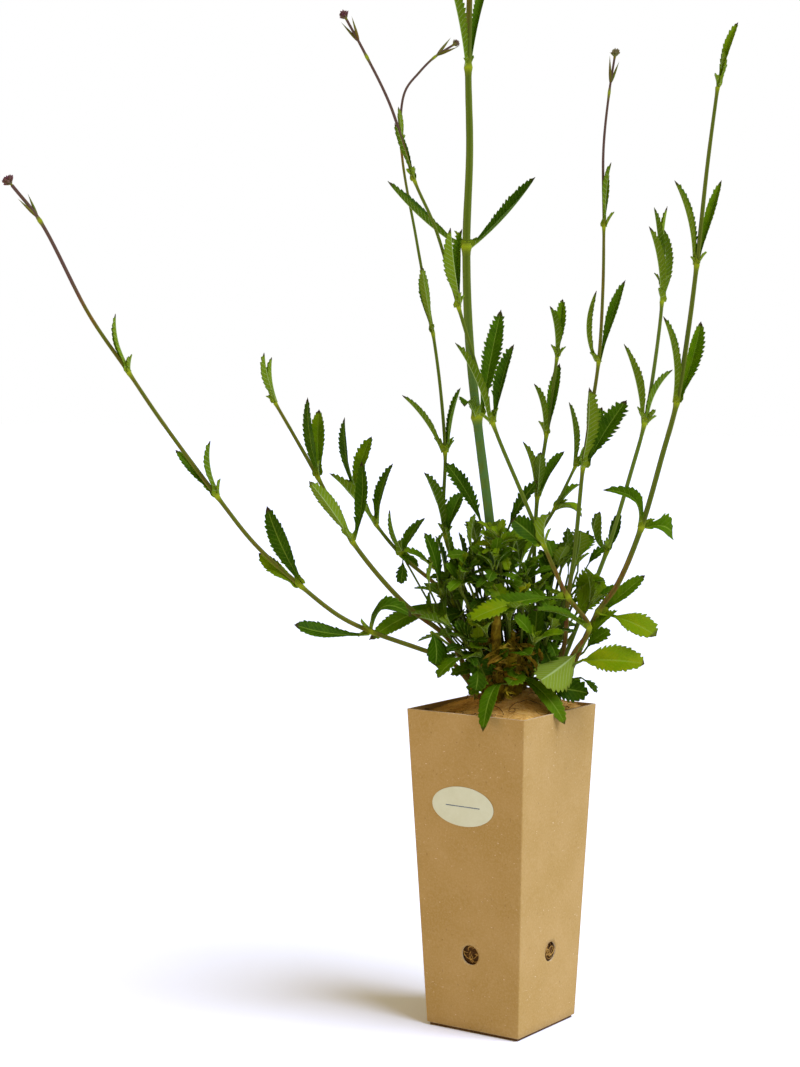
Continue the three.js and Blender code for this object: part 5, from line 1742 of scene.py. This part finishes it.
def curl_in_hole(draw):
    """A bent fibre just inside the hole of the +X face."""
    reach = DRAIN_DIAMETER / 2 + 1
    middle_y, middle_z = (draw() - 0.5) * reach, (draw() - 0.5) * reach
    size, start, turn = 1.5 + 4 * draw(), FULL_TURN * draw(), 0.5 + 0.9 * draw()
    sweep = start + turn * np.linspace(-1.6, 1.6, 12)
    out = outer_half(DRAIN_HEIGHT) - COIR_INSET + 0.1 + 0.9 * draw() * np.sin(np.linspace(0, math.pi, 12))
    return stacked(out, middle_y + size * np.cos(sweep), DRAIN_HEIGHT + middle_z + size * np.sin(sweep))


def add_fibres():
    """Loose coir: fine strands over the mound, dark wisps that stand up, and curls in the pot's holes, darker
    than the coir on top as painted shade.
    """
    draw = seeded_random(31)
    fine, pale, wisps, curls = Skin(), Skin(), Skin(), Skin()
    for i in range(FIBRES_ON_TOP):
        points = strand_on_top(draw, 7, 0.8 + 2.4 * draw() ** 2, 0.25 + 0.45 * draw(), 1.2 * draw() ** 3, 0.5)
        add_fibre(fine if i % 2 else pale, points, 0.06 + 0.08 * draw())
    for _ in range(WISPS):
        points = strand_on_top(draw, 16, 1.0 + 0.6 * draw(), 0.5, 1 + 3.5 * draw() ** 2, 1.1)
        add_fibre(wisps, points, 0.16 + 0.08 * draw(), 5)
    for axis in range(4):
        for _ in range(FIBRES_IN_HOLE):
            # Painted shade: the fibres in the holes are darker than those on top.
            skin = wisps if draw() < DARK_IN_HOLE else curls
            add_fibre(skin, turned(curl_in_hole(draw), 90 * axis), 0.2 + 0.25 * draw(), 6)
    for name, skin, colours in (("coir_fibres_1", fine, COIR_FINE), ("coir_fibres_2", pale, COIR_PALE),
                                ("coir_curls_shaded", curls, COIR_CURLS_SHADED), ("coir_wisps", wisps, COIR_WISPS)):
        dress(skin.build(name, [coir_material(name, colours)], turn=0), "coir")


add_sleeve()
add_base()
add_label()
add_coir()
add_fibres()

# -------- studio
CAMERA_TURN = 35             # degrees round the pot
CAMERA_PITCH = 4.13          # degrees down
CAMERA_DISTANCE = 1.463      # metres from the pot's axis, along the view
CAMERA_SIDE = -0.067         # metres to the right of the pot's axis
CAMERA_HEIGHT = 0.429
CAMERA_LENS = 75.9           # mm, for a 36 mm long side
FLOOR_REACH = 12             # metres
WORLD_LIGHT = 0.46
WORLD_TINT = (1.0, 0.9, 0.66)


def add_camera():
    turn = math.radians(CAMERA_TURN)
    right = Vector((math.cos(turn), math.sin(turn), 0))
    ahead = Vector((-math.sin(turn), math.cos(turn), 0))
    data = bpy.data.cameras.new("camera")
    data.lens = CAMERA_LENS
    data.sensor_width = 36
    camera = placed("camera", data)
    camera.location = right * CAMERA_SIDE - ahead * CAMERA_DISTANCE + Vector((0, 0, CAMERA_HEIGHT))
    camera.rotation_euler = (math.radians(90 - CAMERA_PITCH), 0, turn)
    bpy.context.scene.camera = camera


def add_light(name, kind, place, aim, colour, power, **settings):
    """A light at a place, turned to its aim. For a sun only the direction counts."""
    data = bpy.data.lights.new(name, kind)
    data.energy = power
    data.color = colour
    for setting, value in settings.items():
        setattr(data, setting, value)
    light = placed(name, data)
    light.location = place
    light.rotation_euler = (Vector(aim) - Vector(place)).to_track_quat("-Z", "Y").to_euler()


def add_floor():
    mesh = bpy.data.meshes.new("floor")
    corners = [(x * FLOOR_REACH, y * FLOOR_REACH, 0) for x, y in ((-1, -1), (1, -1), (1, 1), (-1, 1))]
    mesh.from_pydata(corners, [], [(0, 1, 2, 3)])
    mesh.materials.append(floor_material())
    placed("floor", mesh)


def add_world():
    """A white backdrop, whose light on the object is weaker and warm."""
    world = bpy.data.worlds.new("studio")
    world.use_nodes = True
    tree = world.node_tree
    seen = node(tree, "ShaderNodeLightPath").outputs["Is Camera Ray"]
    strength = calculate(tree, "MAXIMUM", seen, WORLD_LIGHT)
    background = tree.nodes["Background"]
    connect(tree, mixed(tree, seen, WORLD_TINT, (1, 1, 1)), background.inputs["Color"])
    connect(tree, strength, background.inputs["Strength"])
    bpy.context.scene.world = world
    bpy.context.scene.view_settings.view_transform = "Standard"


add_camera()
add_light("key", "SUN", (0.63, 0.03, 0.77), (0, 0, 0), (0.93, 1.04, 1.42), 3.9, angle=math.radians(44))
add_light("fill", "AREA", (-0.5, -0.9, 0.35), (0, 0, 0.15), (1, 0.6, 0.16), 2.1, size=0.6)
add_floor()
add_world()
